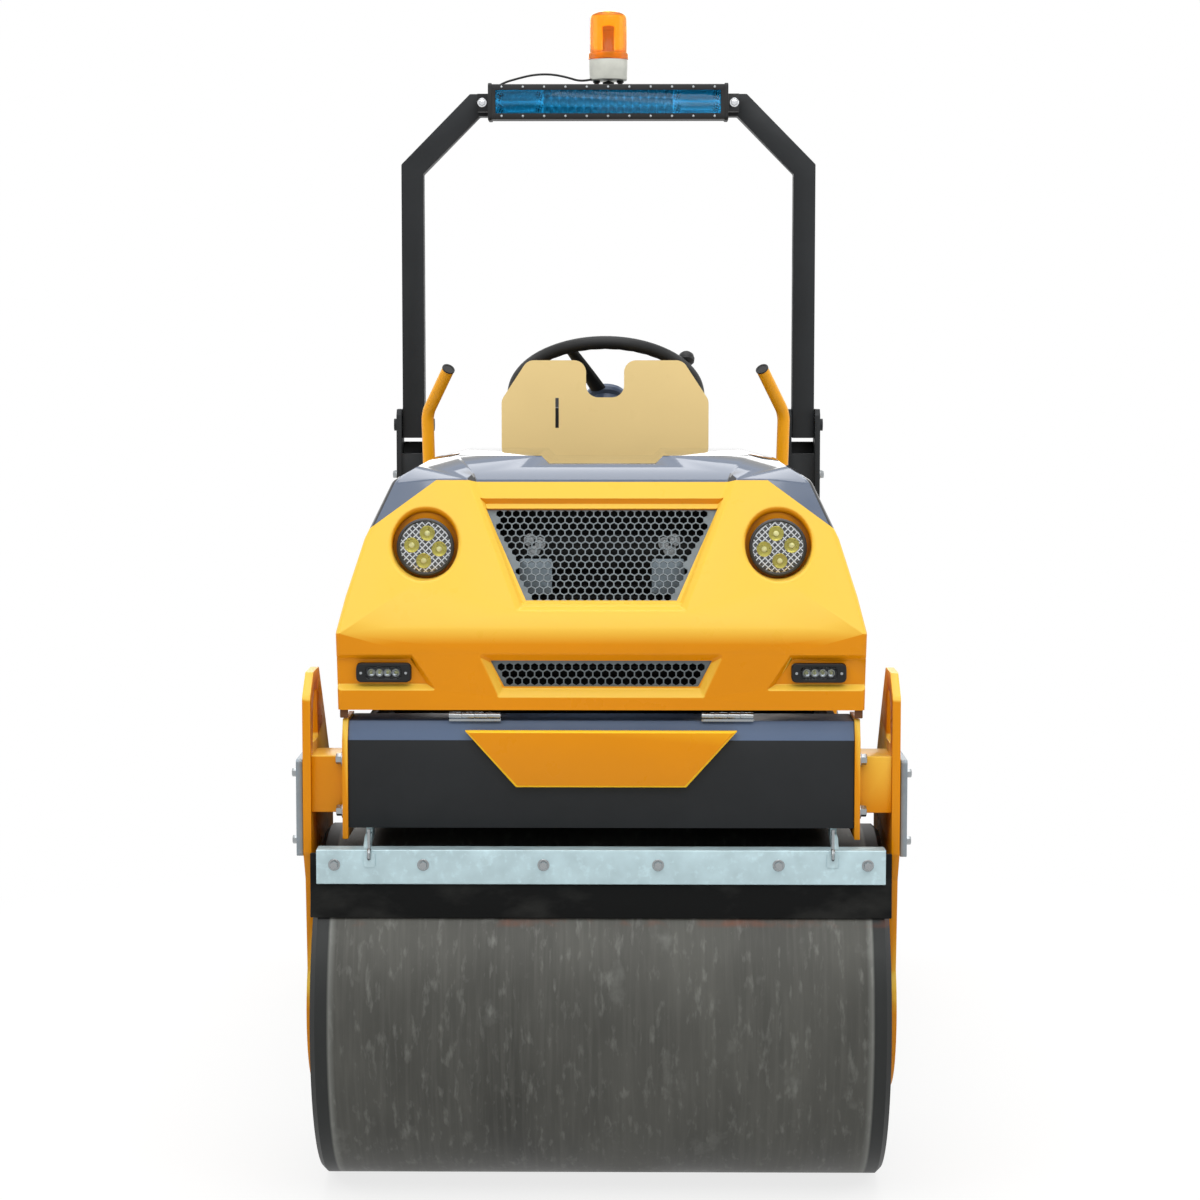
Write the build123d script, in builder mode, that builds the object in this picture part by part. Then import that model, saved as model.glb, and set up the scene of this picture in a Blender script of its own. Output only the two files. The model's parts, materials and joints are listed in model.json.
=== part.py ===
from build123d import *
from math import cos, hypot, radians, sin, sqrt, tan
import os

os.makedirs("parts", exist_ok=True)

# Tandem road roller. Millimetres, +Z up, the floor at Z = 0.
# The machine's front faces -Y, its left side is -X as seen from the front.
# The two halves are hinged on the upright pivot at X = Y = 0.

# ---- driving dimensions -------------------------------------------------
DRUM_R = 315.0            # drum radius
DRUM_HALF = 500.0         # half the drum's width
AXLE_REACH = 750.0        # each drum's axle from the pivot
SHELL_WALL = 20.0         # thickness of the drum's rolled shell
YOKE_IN = 508.0           # inner face of a side plate
YOKE_OUT = 522.0          # outer face of a side plate
BEAM_FACE = 950.0         # the cross box's outer face from the pivot
BEAM_HALF = 441.0         # half the cross box's width
BEAM_LOW = 659.0          # underside of the cross box
BEAM_TOP = 845.0          # top of the cross box
BULKHEAD = 345.0          # near face of each bulkhead from the pivot
HOOD_FRONT = 950.0        # hood's lower front edge ahead of the pivot
HOOD_REAR = 300.0         # hood's rear edge ahead of the pivot
HOOD_LOW = 866.0          # hood's lower edge
HOOD_CREASE = 1000.0      # fold between the hood's lower and upper front face
HOOD_TOP = 1300.0         # hood's flat top
HOOD_WALL = 5.0           # hood panel thickness
WHEEL_TILT = 35.0         # steering wheel's plane from level
WHEEL_C = (0.0, 40.0, 1396.0)
ROPS_Y = 700.0            # roll bar's plane behind the pivot
ROPS_POST = 447.5         # centre of each roll bar post from the middle
TUBE = 50.0               # roll bar's square tube

FRONT, REAR = -1, 1       # which half: the sign of its Y
SIDES = (-1, 1)


def save(part, label):
    part.label = label
    export_step(part, f"parts/{label}.step")


# ---- drums ---------------------------------------------------------------
# Rolled shell with bevelled ends, two welded discs set well inside, each
# with a thick bearing ring round its open centre.
DISC_X = 380.0
DISC_WALL = 16.0
BORE_R = 92.0
RING_R = 130.0
RING_HALF = 22.0


def drum(end):
    inner_r = DRUM_R - SHELL_WALL
    disc_mid = DISC_X + DISC_WALL / 2
    half_profile = [
        (0, inner_r),
        (DISC_X, inner_r),
        (DISC_X, RING_R),
        (disc_mid - RING_HALF, RING_R),
        (disc_mid - RING_HALF, BORE_R),
        (disc_mid + RING_HALF, BORE_R),
        (disc_mid + RING_HALF, RING_R),
        (DISC_X + DISC_WALL, RING_R),
        (DISC_X + DISC_WALL, inner_r),
        (DRUM_HALF - 3, inner_r),
        (DRUM_HALF, inner_r + 3),
        (DRUM_HALF, DRUM_R - 9),
        (DRUM_HALF - 9, DRUM_R),
        (0, DRUM_R),
    ]
    axle = Plane(origin=(0, end * AXLE_REACH, DRUM_R), x_dir=(1, 0, 0), z_dir=(0, -1, 0))
    with BuildPart() as body:
        with BuildSketch(axle):
            with BuildLine():
                Polyline(*half_profile, close=True)
            make_face()
            mirror(about=Plane(axle.origin, x_dir=(0, 1, 0), z_dir=(1, 0, 0)))
        revolve(axis=Axis((0, end * AXLE_REACH, DRUM_R), (1, 0, 0)), revolution_arc=360)
    return body.part


# ---- the two frames ------------------------------------------------------
def yz(end, points):
    """Points given as (distance from the pivot, height), on this half's side."""
    return [(end * reach, height) for reach, height in points]


SIDE_OUTLINE = ((935, 610), (935, 885), (880, 924), (790, 924), (690, 820),
                (570, 690), (570, 560), (620, 315), (880, 315), (905, 560))
LIFT_HOLE = ((900, 800), (888, 870), (868, 890), (835, 890), (812, 800))
HUB_HOLE_R = 105.0
FOOT_R = 160.0


def side_plates(end):
    """Plates beside the drum, each with a lifting hole at its top and the drum's hub at its foot."""
    with BuildPart() as body:
        with BuildSketch(Plane.YZ.offset(YOKE_IN)) as outline:
            with BuildLine():
                Polyline(*yz(end, SIDE_OUTLINE), close=True)
            make_face()
            fillet(outline.vertices(), 14)
            with Locations((end * AXLE_REACH, DRUM_R)):
                Circle(FOOT_R)
            with BuildSketch(Plane.YZ.offset(YOKE_IN), mode=Mode.SUBTRACT) as hole:
                with BuildLine():
                    Polyline(*yz(end, LIFT_HOLE), close=True)
                make_face()
                fillet(hole.vertices(), 9)
            with Locations((end * AXLE_REACH, DRUM_R)):
                Circle(HUB_HOLE_R, mode=Mode.SUBTRACT)
        extrude(amount=YOKE_OUT - YOKE_IN)
        mirror(about=Plane.YZ)
    return body.part


def hub_carrier(end):
    """A pair of hub carriers: flange in the side plate, drum, rubber ring and journal."""
    outline = ((YOKE_OUT - 4, 0), (YOKE_OUT - 4, HUB_HOLE_R), (YOKE_IN, HUB_HOLE_R),
               (YOKE_IN, 150), (YOKE_IN - 18, 150), (YOKE_IN - 18, 118),
               (DISC_X + 45, 118), (DISC_X + 45, 86), (DISC_X - 35, 86), (DISC_X - 35, 0))
    axle = Plane(origin=(0, end * AXLE_REACH, DRUM_R), x_dir=(1, 0, 0), z_dir=(0, -1, 0))
    with BuildPart() as body:
        with BuildSketch(axle):
            with BuildLine():
                Polyline(*outline, close=True)
            make_face()
        revolve(axis=Axis((0, end * AXLE_REACH, DRUM_R), (1, 0, 0)), revolution_arc=360)
        mirror(about=Plane.YZ)
    return body.part


def side_guards(end):
    """Galvanized plates on spacers outside the side plates."""
    with BuildPart() as body:
        with BuildSketch(Plane.YZ.offset(YOKE_OUT)):
            with Locations(*yz(end, ((870, 640), (870, 740), (790, 640), (790, 740)))):
                Circle(10)
        extrude(amount=5)
        with BuildSketch(Plane.YZ.offset(YOKE_OUT + 5)):
            with Locations((end * 830, 685)):
                RectangleRounded(140, 172, 6)
        extrude(amount=11)
        mirror(about=Plane.YZ)
    return body.part


BEAM_DEPTH = 120.0
ARM_Z = 732.0              # middle of the arms beside the cross box
BEAM_BEVEL_Y = 18.0
BEAM_BEVEL_Z = 34.0


def cross_box(end):
    """Folded sheet box across the frame, with its bevelled upper edge."""
    outline = ((BEAM_FACE, BEAM_LOW), (BEAM_FACE, BEAM_TOP - BEAM_BEVEL_Z),
               (BEAM_FACE - BEAM_BEVEL_Y, BEAM_TOP), (BEAM_FACE - BEAM_DEPTH, BEAM_TOP),
               (BEAM_FACE - BEAM_DEPTH, BEAM_LOW))
    with BuildPart() as body:
        with BuildSketch(Plane.YZ) as profile:
            with BuildLine():
                Polyline(*yz(end, outline), close=True)
            make_face()
            offset(amount=-5, mode=Mode.SUBTRACT)
        extrude(amount=BEAM_HALF, both=True)
    return body.part


def cross_arms(end):
    """Square arms that join each side plate to the cross box's end plate."""
    end_outline = ((BEAM_FACE + 3, BEAM_LOW - 20), (BEAM_FACE + 3, BEAM_TOP - BEAM_BEVEL_Z),
                   (BEAM_FACE - BEAM_BEVEL_Y + 3, BEAM_TOP + 4), (BEAM_FACE - BEAM_DEPTH, BEAM_TOP + 4),
                   (BEAM_FACE - BEAM_DEPTH, BEAM_LOW - 20))
    with BuildPart() as body:
        with BuildSketch(Plane.YZ.offset(BEAM_HALF)):
            with BuildLine():
                Polyline(*yz(end, end_outline), close=True)
            make_face()
        extrude(amount=10)
        with BuildSketch(Plane.YZ.offset(BEAM_HALF + 10)):
            with Locations((end * (BEAM_FACE - 75), ARM_Z)):
                Rectangle(100, 100)
                Rectangle(86, 86, mode=Mode.SUBTRACT)
        extrude(amount=YOKE_IN - BEAM_HALF - 10)
        mirror(about=Plane.YZ)
    return body.part


def scraper(end):
    """Galvanized angle bar in front of the drum; its rubber strip is a node of its own."""
    with BuildPart() as bar:
        with BuildSketch(Plane.YZ):
            with BuildLine():
                Polyline(*yz(end, ((1003, 569), (1003, 629), (963, 629), (963, 624),
                                   (998, 624), (998, 569))), close=True)
            make_face()
        extrude(amount=492, both=True)
        for side in SIDES:
            with BuildSketch(Plane.YZ.offset(side * 400)):
                with BuildLine():
                    Polyline(*yz(end, ((985, 629), (963, 646), (935, 648), (935, BEAM_LOW),
                                       (895, BEAM_LOW), (895, 640), (963, 624), (985, 624))), close=True)
                make_face()
            extrude(amount=side * 12)
    with BuildPart() as strip:
        with BuildSketch(Plane.YZ):
            with BuildLine():
                Polyline(*yz(end, ((1003, 510), (998, 564), (998, 622), (990, 622), (990, 564), (999, 510))), close=True)
            make_face()
        extrude(amount=503, both=True)
    return bar.part, strip.part


CHASSIS_HALF = 420.0
CHASSIS_REAR_Z = 400.0


def chassis(end, lugs):
    """Rails and deck over the drum, a bulkhead behind it and the pivot's lugs."""
    with BuildPart() as body:
        deck_near = BULKHEAD
        deck_far = BEAM_FACE - BEAM_DEPTH
        deck_mid = end * (deck_near + deck_far) / 2
        for side in SIDES:
            with BuildSketch(Plane.YZ.offset(side * (CHASSIS_HALF - 12))):
                with BuildLine():
                    Polyline(*yz(end, ((deck_far, BEAM_LOW), (deck_far, BEAM_TOP - 10),
                                       (deck_near, BEAM_TOP - 10), (deck_near, CHASSIS_REAR_Z),
                                       (deck_near + 40, CHASSIS_REAR_Z), (deck_near + 90, BEAM_LOW))), close=True)
                make_face()
            extrude(amount=side * 12)
        with BuildSketch(Plane.XY.offset(BEAM_LOW)):
            with Locations((0, deck_mid)):
                Rectangle(2 * CHASSIS_HALF - 24, deck_far - deck_near)
        extrude(amount=8)
        with BuildSketch(Plane.XZ.offset(-end * deck_near)):
            with Locations((0, (CHASSIS_REAR_Z + BEAM_TOP - 10) / 2)):
                Rectangle(2 * CHASSIS_HALF - 24, BEAM_TOP - 10 - CHASSIS_REAR_Z)
        extrude(amount=-end * 20)
        for low, thick in lugs:
            with BuildSketch(Plane.XY.offset(low)):
                with BuildLine():
                    Polyline((-150, end * deck_near), (-70, 0), (70, 0), (150, end * deck_near), close=True)
                make_face()
                Circle(70)
                Circle(30, mode=Mode.SUBTRACT)
            extrude(amount=thick)
    return body.part



# ---- hood ----------------------------------------------------------------
# One moulding: an upright lower face, a soft crease, and an upper face that leans
# back. The upper face has a sunken tray, and in it the grille's own frame; each
# lamp sits in a bowl and each marker lamp in a wedge that opens to the side.
FACE_RUN, FACE_RISE = 150.0, 262.0     # how far the upper face leans back over its height
FACE_LEAN = 5.0                        # how far the lower face leans out over its height
BROW = (HOOD_FRONT + FACE_LEAN - FACE_RUN, HOOD_CREASE + FACE_RISE)
HOOD_SIDE = ((HOOD_FRONT, HOOD_LOW), (HOOD_FRONT + FACE_LEAN, HOOD_CREASE), BROW, (728, HOOD_TOP),
             (HOOD_REAR, HOOD_TOP), (HOOD_REAR, HOOD_LOW))
HOOD_SECTION = ((458, HOOD_LOW), (460, 960), (461, HOOD_CREASE), (447, 1060), (418, 1158),
                (372, 1258), (330, 1282), (262, HOOD_TOP))
CREASE_R, SECTION_R, NOSE_R = 24.0, 22.0, 9.0
# Trapezoids: half width and height at the top, half width and height at the foot.
UPPER_GRILLE = (206, 1219, 132, 1063)
UPPER_FRAME = (216, 1233, 142, 1054)
UPPER_TRAY = (250, 1290, 147, 1038)
LOWER_GRILLE = (193, 951, 169, 905)
LOWER_TRAY = (212, 964, 179, 889)
TRAY_DEEP, FRAME_DEEP, LOWER_DEEP, WEDGE_DEEP = 12.0, 8.0, 14.0, 12.0
WEDGE = ((490, 963), (328, 963), (287, 901), (490, 901))
COVER_START = (815, 1262)              # where the gloss cover begins at the front
COVER_END = (HOOD_REAR - 1, 1100)      # and its lower edge at the rear
SHOULDER = ((277, 1272), (650, 1001), (650, 1400), (277, 1400))   # where it wraps the hood's shoulders
LAMP_X, LAMP_Z, LAMP_R = 311.0, 1143.0, 51.0
BOWL_R, BOWL_FLOOR, BOWL_UP = 58.0, 826.0, 2.0
LAMP_DEEP = 30.0
MARKER_X, MARKER_Z = 378.0, 931.0
MARKER_W, MARKER_H, MARKER_BACK, MARKER_DEEP = 95.0, 33.0, 932.0, 22.0
CELL, CELL_WEB = 14.5, 2.2             # grille's hexagons: pitch, and metal between two
MESH_THICK, MESH_LAP = 2.0, 6.0


def upper_face(depth=0.0):
    """Plane of the sloping upper face, or one below it by a depth."""
    face = Plane(origin=(0, -HOOD_FRONT - FACE_LEAN, HOOD_CREASE), x_dir=(1, 0, 0), z_dir=(0, -FACE_RISE, FACE_RUN))
    return face.offset(-depth)


def lower_face(depth=0.0):
    """Plane of the lower face, or one behind it by a depth."""
    lean = Plane(origin=(0, -HOOD_FRONT, HOOD_LOW), x_dir=(1, 0, 0),
                 z_dir=(0, HOOD_LOW - HOOD_CREASE, -FACE_LEAN))
    return lean.offset(-depth)


def on_upper(height):
    """Distance up the sloping face from the crease at a height."""
    return (height - HOOD_CREASE) * hypot(FACE_RUN, FACE_RISE) / FACE_RISE


def on_lower(height):
    """Distance up the lower face from its foot at a height."""
    return height - HOOD_LOW


def trapezoid(sizes, up):
    """Corners of a trapezoid on a face, with its heights measured up that face."""
    top_half, top, foot_half, foot = sizes
    return ((-top_half, up(top)), (top_half, up(top)), (foot_half, up(foot)), (-foot_half, up(foot)))


def recess(face, outline, depth, taper, grow):
    """A hollow pressed into a face, narrower at its floor; grow makes the larger one behind the sheet."""
    with BuildPart() as tool:
        for reach, slant in ((-depth - grow, taper), (60, 0)):
            with BuildSketch(face):
                with BuildLine():
                    Polyline(*outline, close=True)
                make_face()
                if grow:
                    offset(amount=grow, kind=Kind.INTERSECTION)
            extrude(amount=reach, taper=slant)
    return tool.part


def tray(grow=0.0):
    return recess(upper_face(), trapezoid(UPPER_TRAY, on_upper), TRAY_DEEP, 50, grow)


def grille_frame(grow=0.0):
    return recess(upper_face(TRAY_DEEP), trapezoid(UPPER_FRAME, on_upper), FRAME_DEEP, 40, grow)


def lower_tray(grow=0.0):
    return recess(lower_face(), trapezoid(LOWER_TRAY, on_lower), LOWER_DEEP, 42, grow)


def wedges(grow=0.0):
    """Recesses for the marker lamps, open to the hood's sides."""
    with BuildPart() as pair:
        add(recess(lower_face(), [(x, on_lower(z)) for x, z in WEDGE], WEDGE_DEEP, 35, grow))
        mirror(about=Plane.YZ)
    return pair.part


def bowls(grow=0.0):
    """Round bowls behind the lamps, level with the ground."""
    with BuildPart() as pair:
        with BuildSketch(Plane.XZ.offset(BOWL_FLOOR - grow)):
            with Locations((LAMP_X, LAMP_Z + BOWL_UP)):
                Circle(BOWL_R + grow)
        extrude(amount=150)
        mirror(about=Plane.YZ)
    return pair.part


def hood_block(inset):
    """The hood's form without its recesses, or smaller all round by an inset."""
    with BuildPart() as block:
        with BuildSketch(Plane.YZ) as side_view:
            with BuildLine():
                Polyline(*yz(FRONT, HOOD_SIDE), close=True)
            make_face()
            crease = side_view.vertices().sort_by_distance((0, -HOOD_FRONT - FACE_LEAN, HOOD_CREASE))[0]
            fillet(crease, CREASE_R)
            if inset:
                offset(amount=-inset, mode=Mode.REPLACE)
        extrude(amount=500, both=True)
        with BuildSketch(Plane.XZ.offset(HOOD_REAR)) as section:
            with BuildLine():
                Polyline(*HOOD_SECTION, *[(-x, z) for x, z in reversed(HOOD_SECTION)], close=True)
            make_face()
            fillet(section.vertices().filter_by_position(Axis.Y, 950, HOOD_TOP), SECTION_R)
            if inset:
                offset(amount=-inset, mode=Mode.REPLACE)
        extrude(amount=HOOD_FRONT, mode=Mode.INTERSECT)
    return block.part


def hood_space():
    """The space under the hood: its block less the wall, open below and behind."""
    with BuildPart() as space:
        add(hood_block(HOOD_WALL))
        with BuildSketch(Plane.XY.offset(HOOD_LOW + HOOD_WALL)):
            with Locations((0, -(HOOD_FRONT + HOOD_REAR) / 2)):
                Rectangle(2 * (440 - HOOD_WALL), HOOD_FRONT - HOOD_REAR - 2 * HOOD_WALL)
        extrude(amount=-2 * HOOD_WALL)
        with BuildSketch(Plane.XZ.offset(HOOD_REAR + HOOD_WALL)):
            with Locations((0, (HOOD_LOW + 1200) / 2)):
                Rectangle(2 * 400, 1200 - HOOD_LOW - 2 * HOOD_WALL)
        extrude(amount=-2 * HOOD_WALL)
        for hollow in (tray, grille_frame, lower_tray, wedges, bowls):
            add(hollow(HOOD_WALL), mode=Mode.SUBTRACT)
    return space.part


def press_in(body, hollow, radius, softened):
    """Presses a hollow into the hood and rounds those of its edges that are to be softened."""
    with BuildPart() as pressed:
        add(body)
        add(hollow, mode=Mode.SUBTRACT)
        fillet(pressed.edges(Select.LAST).filter_by(softened), radius)
    return pressed.part


def above_cover_line():
    """Everything above the slanting edge of the gloss cover, with the hood's two shoulders."""
    start_y, start_z = COVER_START
    end_y, end_z = COVER_END
    with BuildPart() as region:
        with BuildSketch(Plane.YZ):
            with BuildLine():
                Polyline((-1000, start_z), (-start_y, start_z), (-end_y, end_z), (-end_y + 50, end_z),
                         (-end_y + 50, 1400), (-1000, 1400), close=True)
            make_face()
        extrude(amount=600, both=True)
        with BuildSketch(Plane.XZ.offset(end_y - 50)) as shoulder:
            with BuildLine():
                Polyline(*SHOULDER, close=True)
            make_face()
            mirror(about=Plane.YZ)
        extrude(amount=1000)
    return region.part


def cell_places(sizes, up):
    """Centres of the whole hexagons that fit in a trapezoid, on a staggered grid."""
    top_half, top, foot_half, foot = sizes
    rise = CELL * sqrt(3) / 2
    tall = up(top) - up(foot)
    places = []
    for row in range(int((tall - CELL) / rise) + 1):
        height = CELL * 0.6 + row * rise
        half = foot_half + (top_half - foot_half) * height / tall - CELL * 0.7
        for column in range(-int(top_half / CELL) - 1, int(top_half / CELL) + 1):
            across = (column + row % 2 / 2) * CELL
            if abs(across) < half:
                places.append((across, up(foot) + height))
    return places


def mesh_panel(face, sizes, up):
    """Perforated sheet behind an opening, seated on the back of the hood's wall."""
    with BuildSketch() as outline:
        with BuildLine():
            Polyline(*trapezoid(sizes, up), close=True)
        make_face()
        offset(amount=MESH_LAP)
    with BuildSketch() as cell:
        RegularPolygon((CELL - CELL_WEB) / 2, 6, major_radius=False, rotation=30)
    hole = cell.sketch.face().outer_wire()
    holes = [hole.moved(Location((across, height, 0))) for across, height in cell_places(sizes, up)]
    sheet = Face(outline.sketch.face().outer_wire(), holes)
    with BuildPart() as panel:
        with BuildSketch(face):
            add(sheet)
        extrude(amount=-MESH_THICK)
    return panel.part


hood_form = hood_block(0)
nose_edges = hood_form.edges().filter_by(lambda edge: edge.center().Y < -BROW[0] and abs(edge.center().X) > 360)
hood_form = fillet(nose_edges, NOSE_R)
hood_form = press_in(hood_form, tray(), 8, lambda edge: edge.center().Z < BROW[1] - 2)
hood_form = press_in(hood_form, lower_tray(), 6, lambda edge: True)
hood_form = press_in(hood_form, wedges(), 3, lambda edge: abs(edge.center().X) < 420)
hood_form = press_in(hood_form, bowls(), 9, GeomType.ELLIPSE)
space = hood_space()

with BuildPart() as hood_shell:
    add(hood_form)
    add(grille_frame(), mode=Mode.SUBTRACT)
    add(space, mode=Mode.SUBTRACT)
    add(above_cover_line(), mode=Mode.SUBTRACT)
    for face, sizes, up in ((upper_face, UPPER_GRILLE, on_upper), (lower_face, LOWER_GRILLE, on_lower)):
        with BuildSketch(face()):
            with BuildLine():
                Polyline(*trapezoid(sizes, up), close=True)
            make_face()
        extrude(amount=-40, mode=Mode.SUBTRACT)
    with BuildSketch(Plane.XZ.offset(HOOD_FRONT - 50)):
        with Locations((-MARKER_X, MARKER_Z), (MARKER_X, MARKER_Z)):
            RectangleRounded(MARKER_W + 1, MARKER_H + 1, 8)
    extrude(amount=60, mode=Mode.SUBTRACT)
save(hood_shell.part, "hood_shell")

with BuildPart() as hood_cover:
    add(hood_form)
    add(space, mode=Mode.SUBTRACT)
    add(above_cover_line(), mode=Mode.INTERSECT)
    with BuildSketch(Plane.XZ.offset(HOOD_REAR)):
        with Locations((0, HOOD_TOP - 12)):
            Rectangle(240, 24)
    extrude(amount=430)
    with BuildSketch(Plane.XZ.offset(HOOD_REAR - 5)):
        with BuildLine():
            Polyline((-112, HOOD_TOP + 2), (112, HOOD_TOP + 2), (95, HOOD_TOP - 14), (-95, HOOD_TOP - 14), close=True)
        make_face()
    extrude(amount=500, mode=Mode.SUBTRACT)
save(hood_cover.part, "hood_cover")

with BuildPart() as hood_grilles:
    add(mesh_panel(upper_face(TRAY_DEEP + FRAME_DEEP + HOOD_WALL), UPPER_GRILLE, on_upper))
    add(mesh_panel(lower_face(LOWER_DEEP + HOOD_WALL), LOWER_GRILLE, on_lower))
save(hood_grilles.part, "hood_grilles")

# A round lamp is a bezel with a lip, a dished lens in it and four bowls behind the lens.
with BuildPart() as round_lamps:
    lamp_axis = Axis((LAMP_X, 0, LAMP_Z), (0, -1, 0))
    with BuildSketch(Plane(origin=(LAMP_X, -BOWL_FLOOR, LAMP_Z), x_dir=(1, 0, 0), z_dir=(0, 0, 1))):
        with BuildLine():
            Polyline((0, 0), (30, 0), (46, -6), (LAMP_R, -14), (LAMP_R, -26), (LAMP_R - 2, -LAMP_DEEP),
                     (LAMP_R - 5, -LAMP_DEEP), (LAMP_R - 7, -LAMP_DEEP + 4), (20, -LAMP_DEEP + 1),
                     (0, -LAMP_DEEP + 1), close=True)
        make_face()
    revolve(axis=lamp_axis, revolution_arc=360)
    mirror(about=Plane.YZ)
save(round_lamps.part, "round_lamps")

with BuildPart() as marker_lamps:
    with BuildSketch(Plane.XZ.offset(MARKER_BACK)):
        with Locations((-MARKER_X, MARKER_Z), (MARKER_X, MARKER_Z)):
            RectangleRounded(MARKER_W, MARKER_H, 8)
    extrude(amount=MARKER_DEEP)
    chamfer(marker_lamps.faces().filter_by(lambda face: face.center().Y < -MARKER_BACK - MARKER_DEEP + 1).edges(), 2)
save(marker_lamps.part, "marker_lamps")

# ---- front frame's own pieces --------------------------------------------
HINGE_X, HINGE_LONG = 220.0, 90.0
HINGE_Y, HINGE_Z, HINGE_R = 940.0, 855.0, 6.0
KNUCKLES, KNUCKLE_GAP = 4, 0.6
LEAF_THICK = 2.5

with BuildPart() as hood_hinges:
    step = HINGE_LONG / KNUCKLES
    for start in (-HINGE_X - HINGE_LONG / 2, HINGE_X - HINGE_LONG / 2):
        for knuckle in range(KNUCKLES):
            with BuildSketch(Plane.YZ.offset(start + knuckle * step)):
                with Locations((-HINGE_Y, HINGE_Z)):
                    Circle(HINGE_R)
            extrude(amount=step - KNUCKLE_GAP)
        with BuildSketch(Plane.YZ.offset(start)):
            with Locations((-HINGE_Y, HINGE_Z)):
                Circle(HINGE_R - 2)
        extrude(amount=HINGE_LONG)
        with BuildSketch(Plane.YZ.offset(start)):
            with BuildLine():
                Polyline((-HINGE_Y, BEAM_TOP), (-HINGE_Y, HINGE_Z), (-HINGE_Y + LEAF_THICK, HINGE_Z),
                         (-HINGE_Y + 2 * LEAF_THICK, BEAM_TOP + LEAF_THICK), (-900, BEAM_TOP + LEAF_THICK),
                         (-900, BEAM_TOP), close=True)
            make_face()
        extrude(amount=HINGE_LONG)
save(hood_hinges.part, "hood_hinges")

with BuildPart() as badge_plate:
    with BuildSketch(Plane.XZ.offset(BEAM_FACE)):
        with BuildLine():
            Polyline((-237, 831), (237, 831), (148, 732), (-148, 732), close=True)
        make_face()
    extrude(amount=14)
    chamfer(badge_plate.faces().sort_by(Axis.Y)[0].edges(), 3)
save(badge_plate.part, "badge_plate")

ENGINE_FRONT, ENGINE_REAR = 730.0, 400.0
RADIATOR_FRONT, CORE_DEEP = 790.0, 36.0
RADIATOR_TOP, TANK_TALL = 1160.0, 60.0
DECK_TOP = BEAM_LOW + 8

with BuildPart() as engine_block:
    with BuildSketch(Plane.XY.offset(DECK_TOP)):
        with Locations((0, -(ENGINE_FRONT + ENGINE_REAR) / 2)):
            Rectangle(420, ENGINE_FRONT - ENGINE_REAR)
    extrude(amount=330)
    with BuildSketch(Plane.XY.offset(DECK_TOP + 330)):
        with Locations((0, -(ENGINE_FRONT + ENGINE_REAR) / 2)):
            RectangleRounded(260, ENGINE_FRONT - ENGINE_REAR - 40, 30)
    extrude(amount=110, taper=6)
save(engine_block.part, "engine_block")

# Radiator: a finned core between its lower and upper tanks, and two side plates.
with BuildPart() as radiator:
    with BuildSketch(Plane.YZ):
        with BuildLine():
            Polyline((-RADIATOR_FRONT - 8, DECK_TOP), (-RADIATOR_FRONT - 8, DECK_TOP + 40),
                     (-RADIATOR_FRONT, DECK_TOP + 46), (-RADIATOR_FRONT, RADIATOR_TOP - TANK_TALL - 6),
                     (-RADIATOR_FRONT - 8, RADIATOR_TOP - TANK_TALL), (-RADIATOR_FRONT - 8, RADIATOR_TOP - 12),
                     (-RADIATOR_FRONT + 4, RADIATOR_TOP), (-RADIATOR_FRONT + CORE_DEEP - 4, RADIATOR_TOP),
                     (-RADIATOR_FRONT + CORE_DEEP + 8, RADIATOR_TOP - 12),
                     (-RADIATOR_FRONT + CORE_DEEP + 8, DECK_TOP), close=True)
        make_face()
    extrude(amount=190, both=True)
    with BuildSketch(Plane.XZ.offset(RADIATOR_FRONT - 10)):
        with Locations((0, (DECK_TOP + 46 + RADIATOR_TOP - TANK_TALL - 6) / 2)):
            with GridLocations(0, 18, 1, 20):
                Rectangle(356, 12)
    extrude(amount=20, mode=Mode.SUBTRACT)
save(radiator.part, "radiator")

# ---- pivot and steering cylinder -----------------------------------------
# The front lugs turn on the knuckle's upright pin; the knuckle's shaft lets the
# rear frame tilt about the fore and aft axis.
KNUCKLE_Z = 500.0
PIN_R = 29.5
SHAFT_R = 40.0
ARM_X, ARM_Y = -97.0, 26.0         # rod's pin on the knuckle's steering arm
BARREL_X, BARREL_Y = -120.0, -285.0  # barrel's pin on the front frame
EYE_PIN_R = 10.0

with BuildPart() as pivot_knuckle:
    with BuildSketch(Plane.XY.offset(KNUCKLE_Z - 60)):
        Circle(66)
    extrude(amount=120)
    with BuildSketch(Plane.XY.offset(KNUCKLE_Z - 105)):
        Circle(PIN_R)
    extrude(amount=210)
    with BuildSketch(Plane.XZ.offset(-40)):
        with Locations((0, KNUCKLE_Z)):
            Circle(SHAFT_R)
    extrude(amount=-260)
    for low in (KNUCKLE_Z - 32, KNUCKLE_Z + 20):
        with BuildSketch(Plane.XY.offset(low)):
            with BuildLine():
                Polyline((-20, -60), (ARM_X, ARM_Y - 40), (ARM_X, ARM_Y + 40), (-20, 60), close=True)
            make_face()
            with Locations((ARM_X, ARM_Y)):
                Circle(40)
                Circle(EYE_PIN_R + 14, mode=Mode.SUBTRACT)
        extrude(amount=12)
save(pivot_knuckle.part, "pivot_knuckle")

cylinder_line = Vector(ARM_X - BARREL_X, ARM_Y - BARREL_Y, 0)
cylinder_length = cylinder_line.length
cylinder_dir = cylinder_line.normalized()


def along_cylinder(distance):
    """Plane across the steering cylinder at a distance from its barrel's pin."""
    origin = Vector(BARREL_X, BARREL_Y, KNUCKLE_Z) + cylinder_dir * distance
    return Plane(origin=origin, x_dir=(0, 0, 1), z_dir=cylinder_dir)


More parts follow.
